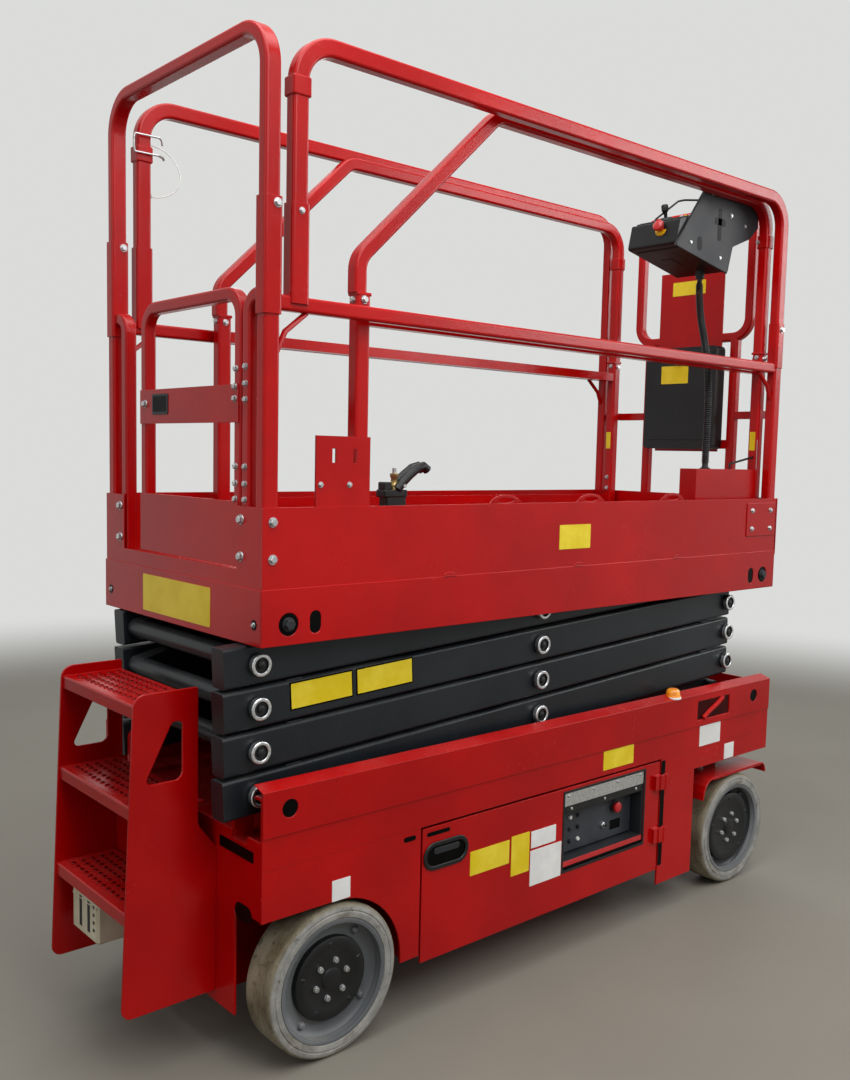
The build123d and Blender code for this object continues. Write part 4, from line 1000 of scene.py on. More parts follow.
def makeBeacons():
    form = Form("white")
    for x, y in chassisForm["beacons"]:
        spot = Matrix.Translation((x, y, chassisTopZ))
        form.use("white").turned(drum(0.0249, 0.006, 0.0014, 0.002), spot, 40)
        form.use("amber_lens").turned(chassisForm["lens"], spot, 48, 0.035)
    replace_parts(form.done("beaconLamps", "chassis", "amber_lens", 25), "beacons")


def makeChassisTrim():
    size, form = chassisForm, Form("yellow")
    for name, side in sideOf.items():
        for film, *area in size["plates"]:
            form.film(film, name, side * chassisY, rectangle(*area, 0.0015), 0.0009)
        # black patch beside the door's hinge knuckles: painted shade in the gap
        form.film("black", name, side * chassisY, rectangle(*size["hingeGap"], 0.004))
        # the rear wall's hole and opening are black films: painted shade inside them
        middle, half, *heights = size["hole"]
        hole = oval(side * middle - half, side * middle + half, *heights)
        form.film("black", "rear", chassisLow.x, hole, 0.0007)
        middle, half, *heights = size["opening"]
        opening = rectangle(side * middle - half, side * middle + half, *heights, 0.003)
        form.film("black", "rear", chassisLow.x, opening, 0.0007)
    form.done("chassisTrim", "chassis", "red_paint")
    marks = [("front", chassisHigh.x, y, z) for y in size["boltY"] for z in size["boltZ"]]
    bolts("chassisBolts", "chassis", marks)


doorForm = {
    "handle": (-0.4355, -0.2885, 0.362, 0.432), "grip": (0.034, 0.030, 0.038, 0.016),
    "slot": (-0.424, -0.350, 0.4485, 0.4585),
    "window": (0.0655, 0.4175, 0.238, 0.458), "glassIn": 0.003, "recessY": 0.328, "panelThick": 0.012,
    "plates": (("yellow", -0.280, -0.142, 0.3155, 0.3775), ("yellow", -0.134, -0.067, 0.277, 0.383),
               ("white", -0.0605, 0.035, 0.3345, 0.380), ("white", -0.062, 0.059, 0.232, 0.328)),
    "button": [(0.0, 0.006), (0.0045, 0.006), (0.0055, 0.0045), (0.0058, 0.0), (0.0, 0.0)],
    "buttonFrom": (0.036, 0.060), "buttonPitch": 0.034,
    "buttonFinishes": ("battery", "black_plastic", "white"),
    "stopAt": {"right": 0.262, "left": 0.090}, "stopZ": 0.120,
    "stop": [(0.0, 0.020), (0.010, 0.0195), (0.0145, 0.017), (0.0158, 0.013), (0.0145, 0.010),
             (0.0095, 0.008), (0.0095, 0.001), (0.0, 0.001)],
    "key": [(0.0, 0.007), (0.006, 0.007), (0.0085, 0.005), (0.0095, 0.0), (0.0, 0.0)],
    "keyFromStop": (-0.050, 0.075), "display": (-0.016, 0.030, 0.052, 0.080),
}


def makeDoor(name, side):
    size, face, form = doorForm, side * chassisY, Form("black_plastic")
    handle, window = size["handle"], size["window"]
    form.sheet(name, face, [oval(*handle), oval(*inset(handle, 0.011))], 0.0045, 0.0018)
    # black oval inside the handle's ring: painted shade in the handle's recess
    form.film("black", name, face, oval(*inset(handle, 0.009)), 0.0008)
    grip = oval(*inset(handle, *size["grip"]))
    form.use("battery").sheet(name, face + side * 0.0005, [grip], 0.0020, 0.0008)
    # black oval: painted shade inside the slot
    form.film("black", name, face, oval(*size["slot"]))
    for film, *area in size["plates"]:
        form.film(film, name, face, rectangle(*area, 0.0015), 0.0009)
    # window: gasket, bright strip with screws, recessed panel of small controls
    gasket = [rectangle(*inset(window, -0.004), 0.004), rectangle(*inset(window, 0.003), 0.004)]
    form.use("black_plastic").sheet(name, face, gasket, 0.0014, 0.0005)
    lowX, highX, lowZ, highZ = window
    innerY = chassisY - size["glassIn"]
    strip = rectangle(lowX + 0.003, highX - 0.003, highZ - 0.040, highZ - 0.002)
    form.use("ring").sheet(name, side * innerY, [strip], 0.0016, 0.0004)
    panel = rectangle(*inset(window, 0.012, 0.012, 0.030, 0.040), 0.003)
    form.use("displayGrey").sheet(name, side * size["recessY"], [panel], size["panelThick"], 0.002)
    form.use("black_plastic").edged(side, (lowX + 0.009, size["recessY"], highZ - 0.062),
                                    (highX - 0.009, innerY, highZ - 0.0385), 0.0015)
    for film, bottom, top in (("redPlastic", 0.012, 0.026), ("black", 0.001, 0.012)):
        line = rectangle(lowX + 0.004, highX - 0.004, lowZ + bottom, lowZ + top)
        form.film(film, name, side * innerY, line, 0.0012)
    topY, (x, z), gap = size["recessY"] + size["panelThick"], size["buttonFrom"], size["buttonPitch"]
    for column in range(3):
        for row in range(3):
            spot = on(name, lowX + x + column * gap, side * topY, lowZ + z + row * gap)
            form.use(size["buttonFinishes"][(column + 2 * row) % 3]).turned(size["button"], spot, 16)
    stopX = lowX + size["stopAt"][name]
    spot = on(name, stopX, side * topY, lowZ + size["stopZ"])
    form.use("black_plastic").turned(drum(0.0195, 0.003, 0.0015, 0.0015), spot, 28)
    form.use("redPlastic").turned(size["stop"], spot, 28)
    keyX, keyZ = stopX + size["keyFromStop"][0], lowZ + size["keyFromStop"][1]
    form.use("steel").turned(size["key"], on(name, keyX, side * topY, keyZ), 20)
    low, high = (keyX - 0.008, topY, keyZ - 0.0015), (keyX + 0.008, topY + 0.013, keyZ + 0.0015)
    form.use("black").edged(side, low, high, 0.0008)
    low, high, bottom, top = size["display"]
    display = rectangle(stopX + low, stopX + high, lowZ + bottom, lowZ + top, 0.002)
    form.film("black", name, side * topY, display)
    form.done(f"doorFittings_{name}", f"tray_{name}", "black_plastic")
    gap = (highX - lowX - 0.04) / 3
    marks = [(name, lowX + 0.02 + k * gap, side * (innerY + 0.0015), highZ - 0.012) for k in range(4)]
    marks += [(name, lowX + 0.035 + k * 0.14, side * innerY, highZ - 0.050) for k in range(3)]
    bolts(f"windowScrews_{name}", f"tray_{name}", marks, 0.006, 0.0022, 0.009,
          **{"Washer Height": 0.0008, "Sides": 12.0})


ladderForm = {
    # side plate and its opening: (distance ahead of the platform's rear face, height, corner)
    "plate": ((-0.195, 0.845, 0.030), (-0.045, 0.845, 0.006), (-0.045, 0.537, 0.030), (0.0, 0.477, 0.010),
              (0.0, 0.145, 0.006), (-0.225, 0.145, 0.024)),
    "opening": ((-0.107, 0.776, 0.011), (-0.083, 0.776, 0.010), (-0.083, 0.648, 0.018),
                (-0.172, 0.648, 0.010)),
    "halfWidth": 0.191, "thick": 0.006, "sheet": 0.003,
    "steps": (0.822, 0.606, 0.376), "stepDepth": 0.146, "lip": 0.030,
    "boltY": (-0.14, 0.14), "boltZ": (0.30, 0.54),
    "studs": {"Pitch": 0.0235, "Stud Length": 0.0145, "Stud Width": 0.0115, "Stud Height": 0.0032,
              "Turn": 0.0},
}


def makeLadder():
    size, form = ladderForm, Form("red_paint")
    outlines = [cornered(size["plate"]), cornered(size["opening"])]
    for name, side in sideOf.items():
        form.sheet(name, side * (size["halfWidth"] - size["thick"]), outlines, size["thick"], 0.0012)
    (topX, topZ), (lowX, lowZ) = size["plate"][0][:2], size["plate"][-1][:2]
    lean = (topX - lowX) / (topZ - lowZ)
    inside, thick, lip = size["halfWidth"] - size["thick"] + 0.0005, size["sheet"], size["lip"]
    spots = []
    for z in size["steps"]:
        back = station(topX) - lean * (topZ - z) + 0.004
        front = back + size["stepDepth"]
        form.block((back + 0.002, -inside, z - thick), (front, inside, z - 0.0004), 0.0)
        form.block((back, -inside, z - lip), (back + thick, inside, z - 0.004), 0.0012)
        form.bar([(back + 0.0045, y, z - 0.0045) for y in (-inside, inside)], 0.0045, 16)  # folded nose
        form.block((front - thick, -inside, z - lip * 0.6), (front, inside, z - thick), 0.0008)
        spots.append(((back + front) / 2 + 0.002, 0.0, z - 0.0006))
        for y in (-inside, inside):  # weld beads under the step
            form.bar([(x, y, z - thick - 0.001) for x in (back + 0.01, front - 0.01)], 0.0025, 8)
    form.block((rearX - 0.060, -inside, lowZ + 0.060), (rearX - 0.057, inside, 0.600), 0.0008)
    form.block((rearX - 0.057, -inside, 0.586), (rearX - 0.030, inside, 0.589), 0.0008)
    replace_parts(form.done("ladderFrame", "chassis", "red_paint"), "ladder")
    treads("ladderTreads", "chassis", spots, size["stepDepth"] - 0.014, 2 * inside - 0.02, size["studs"])
    marks = [("rear", rearX - 0.0595, y, z) for y in size["boltY"] for z in size["boltZ"]]
    bolts("ladderBolts", "chassis", marks)


chargerForm = {"ribIn": 0.028, "slots": (0.046, 0.090), "pins": 4, "pinPitch": 0.018}


def makeChargerBox():
    size, (low, high) = chargerForm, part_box("charger_box")
    form = Form("cream_plastic").block(low + Vector((0.001,) * 3), high - Vector((0.001,) * 3), 0.007)
    for y in (low.y + size["ribIn"], (low.y + high.y) / 2, high.y - size["ribIn"]):
        form.block((low.x, y - 0.003, low.z + 0.008), (low.x + 0.003, y + 0.003, high.z - 0.008), 0.0012)
    form.block((low.x, low.y + 0.004, high.z - 0.030), (high.x, high.y - 0.004, high.z - 0.026), 0.001)
    for y in (low.y + slot for slot in size["slots"]):
        a, b = (low.x + 0.0004, y - 0.007, low.z + 0.020), (low.x + 0.0016, y + 0.007, high.z - 0.022)
        form.use("battery").block(a, b, 0.0004)
    for z in (low.z + 0.030 + k * size["pinPitch"] for k in range(size["pins"])):
        a, b = (low.x, low.y + 0.014, z), (low.x + 0.0016, low.y + 0.022, z + 0.007)
        form.use("black_plastic").block(a, b, 0.0004)
    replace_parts(form.done("chargerHousing", "chassis", "cream_plastic"), "charger_box")


wheelGuard = {
    "front": 0.150, "rear": -0.125, "top": 0.3645,  # ends ahead of the steering pin, and the sheet's height
    # the turned-down ends: start, way, inner edge, how far down
    "ends": ((0.150, 1, 0.300, 0.0325), (-0.1235, -1, 0.262, 0.062)),
    "fall": ((0.0, 0.0), (0.36, 0.10), (0.62, 0.34), (0.76, 0.65), (0.82, 1.0)), "halfThick": 0.0025,
}


def makeKnuckles():
    size, thick = wheelGuard, wheelGuard["halfThick"]
    for name, side in sideOf.items():
        form, axle = Form("red_paint"), joints[f"steer_{name}"]["pos_m"][0]
        outer = chassisY - 0.0005
        for start, way, inner, deep in size["ends"]:
            tip = [(axle + start + way * deep * along, size["top"] - deep * down)
                   for along, down in size["fall"]]
            for first, second in zip(tip, tip[1:]):
                reach, half = math.dist(first, second) / 2 + 0.001, (outer - inner) / 2
                form.block((-reach, -half, -thick), (reach, half, thick), 0.0012,
                           alongLine(first, second, side * (inner + outer) / 2))
        low, high = (axle + size["rear"], chassisY - 0.003, 0.3575), (axle + size["front"], outer, 0.3665)
        form.edged(side, low, high)
        pin = Matrix.Translation((axle - 0.055, side * 0.275, 0.367))
        form.use("steel").turned(drum(0.014, 0.010, 0.002, 0.002), pin, 18)
        form.done(f"wheelGuard_{name}", f"knuckle_{name}", "red_paint")


makeBands()
makeBeacons()
for name, side in sideOf.items():
    makeDoor(name, side)
makeLadder()
makeChargerBox()
makeChassisTrim()
makeKnuckles()
print("chassis dressed")


# --- platform ---

platformForm = {
    "seamZ": 1.072, "thick": 0.0025, "holeZ": 0.996,  # the side sheets' top, thickness and holes
    "holeAt": 0.065, "holeRadius": 0.0245, "slotAt": 0.133, "slotHalf": (0.0145, 0.0245),  # from each end
    "tabs": (-0.365, 0.099, 0.536), "tabHalf": 0.021, "tabRise": 0.010,
    "cornerPlate": (0.8975, 1.0595, 1.122, 1.228), "sidePlate": (0.0205, 0.1435, 1.118, 1.182),
    "rearPlate": (-0.164, 0.159, 0.967, 1.055), "rearHoles": ((-0.3445, 0.997), (0.3395, 0.997)),
}


def makeSkirt():
    size, form = platformForm, Form("red_paint")
    seam, thick, z = size["seamZ"], size["thick"], size["holeZ"]
    (wide, tall), half = size["slotHalf"], size["tabHalf"]
    holesX = (station(size["holeAt"]), frontX - size["holeAt"])
    slotsX = (station(size["slotAt"]), frontX - size["slotAt"])
    for name, side in sideOf.items():
        face, holes = side * sideY, []
        for holeX, slotX in zip(holesX, slotsX):
            slot = (slotX - wide, slotX + wide, z - tall, z + tall)
            holes += [circle(holeX, z, size["holeRadius"]), oval(*slot)]
            # black films behind the holes and slots: painted shade inside them
            form.film("black", name, face, circle(holeX, z, size["holeRadius"] + 0.001), 0.0007)
            form.film("black", name, face, oval(*inset(slot, -0.001)), 0.0007)
        outline = rectangle(rearX - thick, frontX + thick, platformLow.z, seam)
        form.use("red_paint").sheet(name, face, [outline] + holes, thick, 0.001)
        for x in size["tabs"]:
            top = arc(x, seam, half, size["tabRise"], math.pi, 9)[::-1]
            tab = [(x - half, seam - 0.003), *top, (x + half, seam - 0.003)]
            form.sheet(name, face, [tab], thick, 0.0008)
        form.sheet(name, face, [rectangle(*size["cornerPlate"], 0.003)], 0.003, 0.001)
    for name, plane in (("rear", rearX), ("front", frontX)):
        form.sheet(name, plane, [rectangle(-sideY, sideY, platformLow.z, seam)], thick, 0.001)
    form.done("skirtSheets", "platform", "red_paint")
    dark, plates, rear = Form("black"), Form("yellow"), rearX - thick
    # black discs on the rear holes: painted shade inside the holes
    for y, z in size["rearHoles"]:
        dark.film("black", "rear", rear, circle(y, z, 0.011))
    dark.done("skirtHoles", "platform", "black_plastic")
    plates.film("yellow", "rear", rear, rectangle(*size["rearPlate"], 0.004), 0.0009)
    for name, side in sideOf.items():
        plates.film("yellow", name, side * sideY, rectangle(*size["sidePlate"], 0.0015), 0.0008)
    plates.done("platformPlates", "platform", "red_paint")
    marks = [("rear", rearX, y, z) for y in (-0.287, 0.290) for z in (1.135, 1.213)]
    marks += [("rear", rear - 0.0005, y, z, 0.55) for y, z in size["rearHoles"]]
    sunk = []
    for name, side in sideOf.items():
        marks += [(name, -0.8575, side * sideY, z) for z in (1.134, 1.211)]
        marks += [(name, x, side * (sideY + 0.003), z, 0.75) for x in (0.925, 1.030) for z in (1.146, 1.204)]
        sunk += [(name, x, side * (sideY + 0.0006), size["holeZ"], 1.3) for x in holesX]
    bolts("platformBolts", "platform", marks, head=0.015, washer=0.022)
    bolts("skirtPins", "platform", sunk, finish="battery")


railForm = {
    "postX": -0.8595, "postY": 0.350, "legX": -0.7935, "frontX": 1.0485, "half": 0.019,
    "collar": (0.0222, 2.072, 2.112), "strut": ((0.0, 1.560), (0.020, 1.602), (0.072, 1.644)),
}


def makeRailTrim():
    size, form, marks = railForm, Form("red_paint"), []
    postX, legX, farX, half = size["postX"], size["legX"], size["frontX"], size["half"]
    reach, bottom, top = size["collar"]
    for name, side in sideOf.items():
        y = side * size["postY"]
        form.block((legX - reach, y - half, bottom), (legX + reach, y + half, top), 0.003)
        for x, way in ((legX - 0.046, 1), (farX - half, -1)):  # struts under the mid rail's ends
            form.bar([(x + way * along, y, z) for along, z in size["strut"]], 0.0065, 10, flat=0.6)
        marks += [("right", postX + 0.008, y - 0.0185, 1.852), ("left", postX + 0.008, y + 0.0185, 1.852)]
        marks += [(name, farX, y + side * half, 1.780), (name, legX, y + side * half, 1.846, 0.7)]
    form.done("railFittings", "platform", "red_paint")
    bolts("railBolts", "platform", marks, 0.014, 0.006, 0.020)


springClip = {  # the clip and pin that the coated wire keeps, from the left rear leg's axis
    "wires": (
        (0.0026, ((-0.030, -0.024, 2.092), (0.036, -0.024, 2.093))),
        (0.0026, ((-0.030, -0.024, 2.136), (0.036, -0.024, 2.137))),
        (0.0026, ((-0.030, -0.024, 2.092), (-0.033, -0.024, 2.104), (-0.033, -0.024, 2.126),
                  (-0.030, -0.024, 2.136))),
        (0.0026, ((0.036, -0.024, 2.137), (0.043, -0.023, 2.131), (0.046, -0.020, 2.120))),
        (0.0036, ((0.036, -0.024, 2.093), (0.046, -0.023, 2.090), (0.050, -0.021, 2.085))),
    ),
    "heads": ((0.019, -0.004, 1.994), (0.019, 0.001, 2.122)),
    "head": [(0.0, 0.004), (0.006, 0.0035), (0.0075, 0.0), (0.0, 0.0)],
}


def makeSpringClip():
    form, leg = Form("steel"), Vector((railForm["legX"], railForm["postY"], 0))
    for radius, points in springClip["wires"]:
        form.bar([leg + Vector(point) for point in points], radius, 8)
    for spot in springClip["heads"]:
        form.turned(springClip["head"], on("front", *(leg + Vector(spot))), 16)
    form.done("springClip", "platform", "steel")


treadForm = {
    "rearLength": 0.50, "rearZ": 1.0905, "rollOutZ": 1.0976, "rollOutWidth": 0.640,
    "studs": {"Pitch": 0.030, "Stud Length": 0.019, "Stud Width": 0.0055, "Stud Height": 0.0014,
              "Turn": math.pi / 4},
}


def makeDeckTreads():
    size, length = treadForm, treadForm["rearLength"]
    treads("deckTreads", "platform", [(rearX + 0.006 + length / 2, 0, size["rearZ"])], length,
           2 * sideY - 0.10, size["studs"])
    low, high = station(length) + 0.004, frontX - 0.010
    treads("rollOutTreads", "extension", [((low + high) / 2, 0, size["rollOutZ"])], high - low,
           size["rollOutWidth"], size["studs"])


gateForm = {
    "plateX": -0.8765, "tubeX": -0.8735, "latchPlate": (0.048, 0.126, 1.436, 1.484),
    "latchBar": ((-0.8425, 0.150, 1.455), (-0.8425, 0.185, 1.455)), "latchKnobY": 0.144,
    "gateBolts": (1.254, 1.287, 1.323, 1.465, 1.490, 1.527),  # heights
    "onPlate": (1.41, 1.5),  # bolts between these heights stand on the latch plate
    "postBolts": (1.254, 1.287, 1.323, 1.462, 1.495, 1.530),
}


def makeGateTrim():
    size, form, plate = gateForm, Form("black"), gateForm["plateX"]
    bottom, top = size["onPlate"]
    form.film("black", "rear", plate, rectangle(*inset(size["latchPlate"], 0.002), 0.004), 0.0009)
    rim = [rectangle(*size["latchPlate"], 0.005), rectangle(*inset(size["latchPlate"], 0.006), 0.004)]
    form.use("battery").sheet("rear", plate, rim, 0.0018, 0.0006)
    form.use("steel").bar(size["latchBar"], 0.0055, 12)  # spring latch on the inner side
    form.turned(drum(0.010, 0.012, 0.002, 0.003), on("front", size["tubeX"], size["latchKnobY"], 1.455), 20)
    form.done("gateLatch", "gate", "steel")
    marks = [("rear", plate, 0.163, 1.462)]
    marks += [("rear", plate if bottom < z < top else size["tubeX"], -0.250, z, 0.8)
              for z in size["gateBolts"]]
    bolts("gateBolts", "gate", marks, head=0.013, washer=0.019)
    leaves = [("rear", size["tubeX"] - 0.001, -0.290, z, 0.8) for z in size["postBolts"]]
    bolts("hingeBolts", "platform", leaves, head=0.013, washer=0.018)


makeSkirt()
makeRailTrim()
makeSpringClip()
makeDeckTreads()
makeGateTrim()
print("platform dressed")


# --- roll-out deck ---

deckForm = {
    "sideY": 0.328, "toeZ": 1.227, "railY": 0.300,
    "rearPostX": -0.5905, "frontPostX": 1.0385, "columnX": 1.0775,
    "loops": (-0.139, 0.191, 0.564), "loop": (0.062, 0.034), "loopHole": (0.030, 0.006),  # half sizes
    "frontBolts": (1.695, 1.250, 1.290), "rearBolts": (1.695, 1.150), "legPlate": (0.010, 1.395, 1.455),
    "lead": ((0.897, -0.300, 1.330), (0.897, -0.300, 1.3495), (0.985, -0.302, 1.366), (1.028, -0.304, 1.374)),
    "wire": ((1.020, -0.3185, 1.290), (1.021, -0.319, 1.34), (1.0215, -0.3185, 1.39),
             (1.0225, -0.3175, 1.43)),
    "stud": [(0.0, 0.005), (0.006, 0.0045), (0.007, 0.0), (0.0, 0.0)], "studAt": (1.0205, -0.285, 2.061),
}


def makeDeckTrim():
    size, form, plates, marks = deckForm, Form("red_paint"), Form("yellow"), []
    rearPost, frontPost, toe = size["rearPostX"], size["frontPostX"], size["toeZ"]
    (wide, tall), (half, bottom, top) = size["loop"], size["legPlate"]
    for x in size["loops"]:  # low loops standing on the right side plate
        crown = arc(x, toe, wide, tall, math.pi, 13)[::-1]
        hole = ellipse(x, toe + 0.019, *size["loopHole"], 14)
        loop = [(x - wide, toe - 0.010), *crown, (x + wide, toe - 0.010)]
        form.sheet("right", 0.003 - size["sideY"], [loop, hole], 0.003, 0.0008)
    for name, side in sideOf.items():
        y, outside, inside = (side * (size["railY"] + out) for out in (0.0, 0.017, -0.017))
        for x in (rearPost, frontPost):  # collars where the upper tubes slide out
            form.block((x - 0.020, y - 0.0185, 1.704), (x + 0.020, y + 0.0185, 1.7115), 0.0016)
        form.block((frontPost - 0.0195, y - 0.0195, 2.040), (frontPost + 0.0195, y + 0.0195, 2.082), 0.003)
        form.bar([(rearPost + along, y + side * 0.024, 1.108) for along in (-0.030, 0.05)], 0.003, 8)
        plates.film("yellow", "rear", frontPost - 0.017, rectangle(y - half, y + half, bottom, top))
        marks += [(name, rearPost, outside, 1.695), (name, frontPost, outside, 1.690)]
        marks += [("rear", frontPost - 0.017, y, z, 0.8) for z in size["frontBolts"]]
        marks += [("rear", rearPost - 0.019, y, z, 0.8) for z in size["rearBolts"]]
        marks += [("left" if side < 0 else "right", x, inside, 1.692, 0.9) for x in (rearPost, frontPost)]
    form.done("rollOutFittings", "extension", "red_paint")
    bolts("rollOutBolts", "extension", marks, 0.013, 0.006, 0.019)
    plates.done("legPlates", "extension", "red_paint")
    clip = Form("black_plastic").bar(size["lead"], 0.0035, 8)
    clip.use("steel").bar(size["wire"], 0.0014, 6).turned(size["stud"], on("rear", *size["studAt"]), 14)
    clip.done("frontClips", "extension", "steel")


documentForm = {
    "lip": 0.002, "plate": (-0.035, 0.076, 1.622, 1.683), "columnPlate": (-0.055, 0.079, 1.930, 1.977),
}


def makeDocumentBox():
    size, (low, high) = documentForm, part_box("document_box")
    form, edge, top = Form("black_plastic"), low.x - documentForm["lip"], high.z
    lid = [(edge, top - 0.040), (edge, top - 0.016), (edge + 0.010, top - 0.004),
           (edge + 0.022, top - 0.0005), (high.x, top - 0.0005), (high.x, top - 0.040)]
    form.sheet("left", low.y + 0.012, [lid], high.y - low.y - 0.024)
    form.block((low.x - 0.0012, low.y + 0.022, low.z + 0.030), (low.x + 0.001, high.y - 0.022, top - 0.060),
               0.0008)
    form.turned(drum(0.011, 0.006, 0.002, 0.002), on("rear", low.x - 0.001, 0.0, top - 0.052), 20)
    form.film("yellow", "rear", low.x - 0.0012, rectangle(*size["plate"], 0.002), 0.0008)
    form.done("documentLid", "extension", "black_plastic")
    plate = rectangle(*size["columnPlate"], 0.002)
    column = Form("yellow").film("yellow", "rear", deckForm["columnX"], plate, 0.0008)
    column.done("columnPlate", "extension", "red_paint")


controlForm = {
    "plateY": -0.279, "boxY": -0.094,
    # distance ahead of the platform's rear face, height and, for the bracket, corner
    "box": ((1.482, 2.000), (1.747, 1.948), (1.772, 2.062), (1.655, 2.112), (1.499, 2.074)),
    "bracket": ((1.470, 1.992, 0.006), (1.745, 1.943, 0.010), (1.768, 2.028, 0.010), (1.862, 2.066, 0.006),
                (1.906, 2.106, 0.010), (1.904, 2.149, 0.010), (1.870, 2.200, 0.010), (1.628, 2.200, 0.012)),
    "slots": ((0.800, 0.819, 2.036, 2.132, 0.006), (0.784, 0.838, 2.082, 2.103, 0.005)),
    "hole": (0.697, 0.720, 1.992, 2.034),
    "boot": [(0.0, 0.012), (0.014, 0.012), (0.020, 0.009), (0.023, 0.004), (0.0, 0.004)],
    "stick": [(0.0, 0.052), (0.008, 0.051), (0.011, 0.046), (0.011, 0.032), (0.006, 0.026), (0.005, 0.010),
              (0.0, 0.010)],
    "switch": [(0.0, 0.0085), (0.0045, 0.0085), (0.0058, 0.007), (0.006, 0.004), (0.0, 0.004)],
    "switches": ("white", "yellow", "white", "black_plastic"), "switchFrom": -0.016, "switchPitch": 0.022,
    "stopAt": (0.618, -0.208, 2.050), "stopTilt": 24,
    "stop": [(0.0, 0.030), (0.011, 0.0295), (0.0165, 0.027), (0.018, 0.022), (0.0165, 0.018), (0.010, 0.015),
             (0.010, 0.004), (0.0, 0.004)],
    "bow": ((0.652, -0.150, 2.082), (0.660, -0.150, 2.096), (0.768, -0.152, 2.168), (0.795, -0.156, 2.176),
            (0.850, -0.200, 2.178), (0.862, -0.277, 2.172)),
    "bolts": ((1.650, 2.170), (1.545, 2.010), (1.700, 1.985), (1.830, 2.100)),
}


def makeControls():
    size, plane = controlForm, controlForm["plateY"]
    corners = [(station(x), z) for x, z in size["box"]]
    form = Form("battery").sheet("right", plane, [cornered(size["bracket"])], 0.002, 0.0008)
    # black films on the bracket's slots and hole: painted shade inside them
    for loop in [rectangle(*slot) for slot in size["slots"]] + [oval(*size["hole"])]:
        form.film("black", "right", plane - 0.002, loop, 0.0007)
    # raised top panel between the box's upper edges, with stick and switches
    panel = alongLine(corners[4], corners[3], (plane + size["boxY"]) / 2)
    form.use("black_plastic").block((-0.072, -0.082, -0.002), (0.072, 0.082, 0.0035), 0.002, panel)
    form.use("displayGrey").block((-0.064, -0.074, 0.003), (0.064, 0.074, 0.0048), 0.001, panel)
    grip = panel @ Matrix.Translation((0.010, 0.030, 0))
    form.use("black_plastic").turned(size["boot"], grip, 24).turned(size["stick"], grip, 20)
    for k, finish in enumerate(size["switches"]):
        spot = Matrix.Translation((size["switchFrom"] + k * size["switchPitch"], -0.046, 0))
        form.use(finish).turned(size["switch"], panel @ spot, 16)
    lean = Matrix.Rotation(math.radians(size["stopTilt"]), 4, "Y")
    stop = Matrix.Translation(size["stopAt"]) @ lean @ on("rear", 0, 0, 0)
    form.use("yellowPlastic").turned(drum(0.0235, 0.006, 0.0025, 0.003, -0.012), stop, 28)
    form.use("redPlastic").turned(size["stop"], stop, 28)
    form.use("black_plastic").bar(size["bow"], 0.0032, 8)  # wire bow that guards the top
    under = alongLine(corners[0], corners[1])
    form.block((-0.105, -0.265, -0.0022), (0.085, -0.105, 0.001), 0.001, under)  # base plate and its pad
    form.block((-0.030, -0.185, -0.0035), (0.030, -0.145, 0.0), 0.001, under)
    form.done("controlFittings", "extension", "black_plastic")
    marks = [("right", 0.868, plane - 0.002, 2.120, 0.9)]
    marks += [("right", station(x), plane - 0.002, z, 0.7) for x, z in size["bolts"]]
    bolts("controlBolts", "extension", marks, 0.011, 0.004, 0.016)


pedal = {
    "at": (-0.2825, -0.070, 1.098),  # on the deck
    # base, column, head and heel: two corners from the place above, and the edge
    "blocks": (((-0.060, -0.022, 0.0), (0.024, 0.022, 0.016), 0.003),
               ((-0.050, -0.017, 0.015), (0.018, 0.017, 0.152), 0.004),
               ((-0.058, -0.019, 0.146), (0.020, 0.019, 0.166), 0.003),
               ((-0.056, -0.014, 0.164), (-0.030, 0.014, 0.186), 0.003)),
    "spring": [(0.0, 0.0), (0.0115, 0.0), (0.0115, 0.012), (0.009, 0.016), (0.009, 0.032), (0.0115, 0.036),
               (0.0115, 0.044), (0.0, 0.046)],
    "blade": 0.0125, "lobe": 0.85,  # the pedal's lobes: radius, and their distance from the middle in radii
    "spine": ((-0.012, 0.166), (0.006, 0.184), (0.030, 0.204), (0.056, 0.222), (0.078, 0.228),
              (0.092, 0.218)),
}


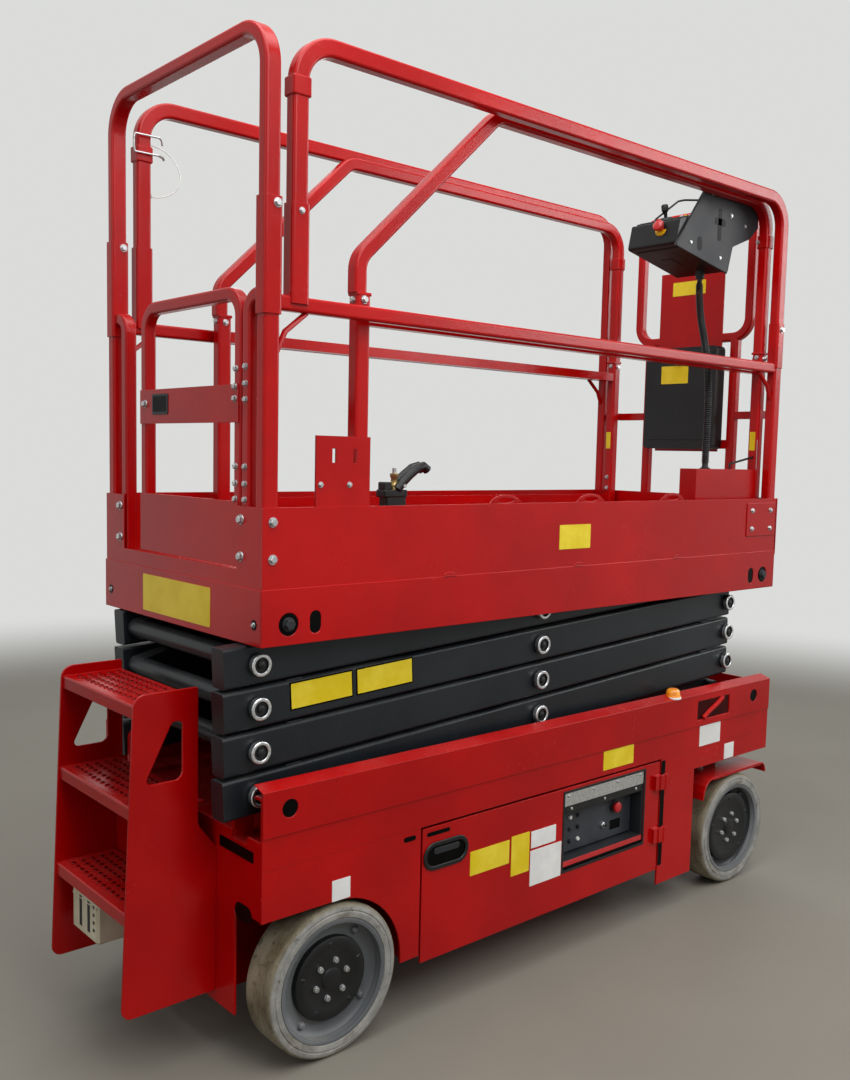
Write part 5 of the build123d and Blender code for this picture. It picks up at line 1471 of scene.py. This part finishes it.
def makeFootLatch():
    (x, y, z), place = pedal["at"], Matrix.Translation(pedal["at"])
    form = Form("black_plastic")
    for low, high, edge in pedal["blocks"]:
        form.block(low, high, edge, place)
    form.use("brass").turned(pedal["spring"], place @ Matrix.Translation((-0.012, 0, 0.164)), 24)
    form.use("steel").bar([(-0.012, 0, 0.208), (-0.012, 0, 0.222)], 0.006, 6, place)
    form.bar([(0.006, -0.024, 0.176), (0.006, 0.024, 0.176)], 0.005, 12, place)
    radius = pedal["blade"]
    for side in (-1, 1):  # curved two-lobed pedal
        spine = [(x + ahead, y + side * radius * pedal["lobe"], z + up) for ahead, up in pedal["spine"]]
        form.use("black_plastic").bar(spine, radius, 14)
    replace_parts(form.done("footPedal", "extension", "black_plastic"), "foot_latch")


def makeMountTrim():
    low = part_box("box_mount")[0]
    marks = [("right", low.x + along, low.y, 1.288, 0.7) for along in (0.012, 0.088)]
    bolts("mountBolts", "platform", marks, head=0.013, washer=0.019)


makeDeckTrim()
makeDocumentBox()
makeControls()
makeFootLatch()
makeMountTrim()
print("roll-out deck dressed")


# --- what stands in the swing-out trays ---

trayLoad = {"gap": 0.004, "lidThick": 0.012, "terminalIn": 0.030, "linkReach": 0.034, "linkIn": 0.05}


def makeTrayLoad(name, side):
    size, (low, high) = trayLoad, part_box(f"tray_load_{name}")
    form, gap, lid = Form("battery"), trayLoad["gap"], high.z + trayLoad["lidThick"]
    middle, terminal = (low.x + high.x) / 2, drum(0.009, 0.014, 0.002, 0.003)
    terminalY = low.y + size["terminalIn"] if side > 0 else high.y - size["terminalIn"]
    for start, end in ((low.x, middle), (middle, high.x)):
        a, b = start + gap, end - gap
        form.use("battery").block((a, low.y + gap, high.z), (b, high.y - gap, lid), 0.003)
        form.use("black_plastic").block((a + 0.03, low.y + 0.05, lid), (b - 0.03, high.y - 0.05, lid + 0.008),
                                        0.004)
        for x in (a + size["terminalIn"], b - size["terminalIn"]):
            form.use("steel").turned(terminal, Matrix.Translation((x, terminalY, high.z + 0.011)), 16)
    y = (low.y + high.y) / 2 - size["linkIn"]
    strap = [(middle + way * size["linkReach"], y, high.z + rise)
             for way, rise in ((-1, 0.024), (0, 0.036), (1, 0.024))]
    form.use("redPlastic").bar(strap, 0.005, 10)
    form.done(f"batteryTops_{name}", f"tray_{name}", "battery")


for name, side in sideOf.items():
    makeTrayLoad(name, side)
print("tray loads dressed")
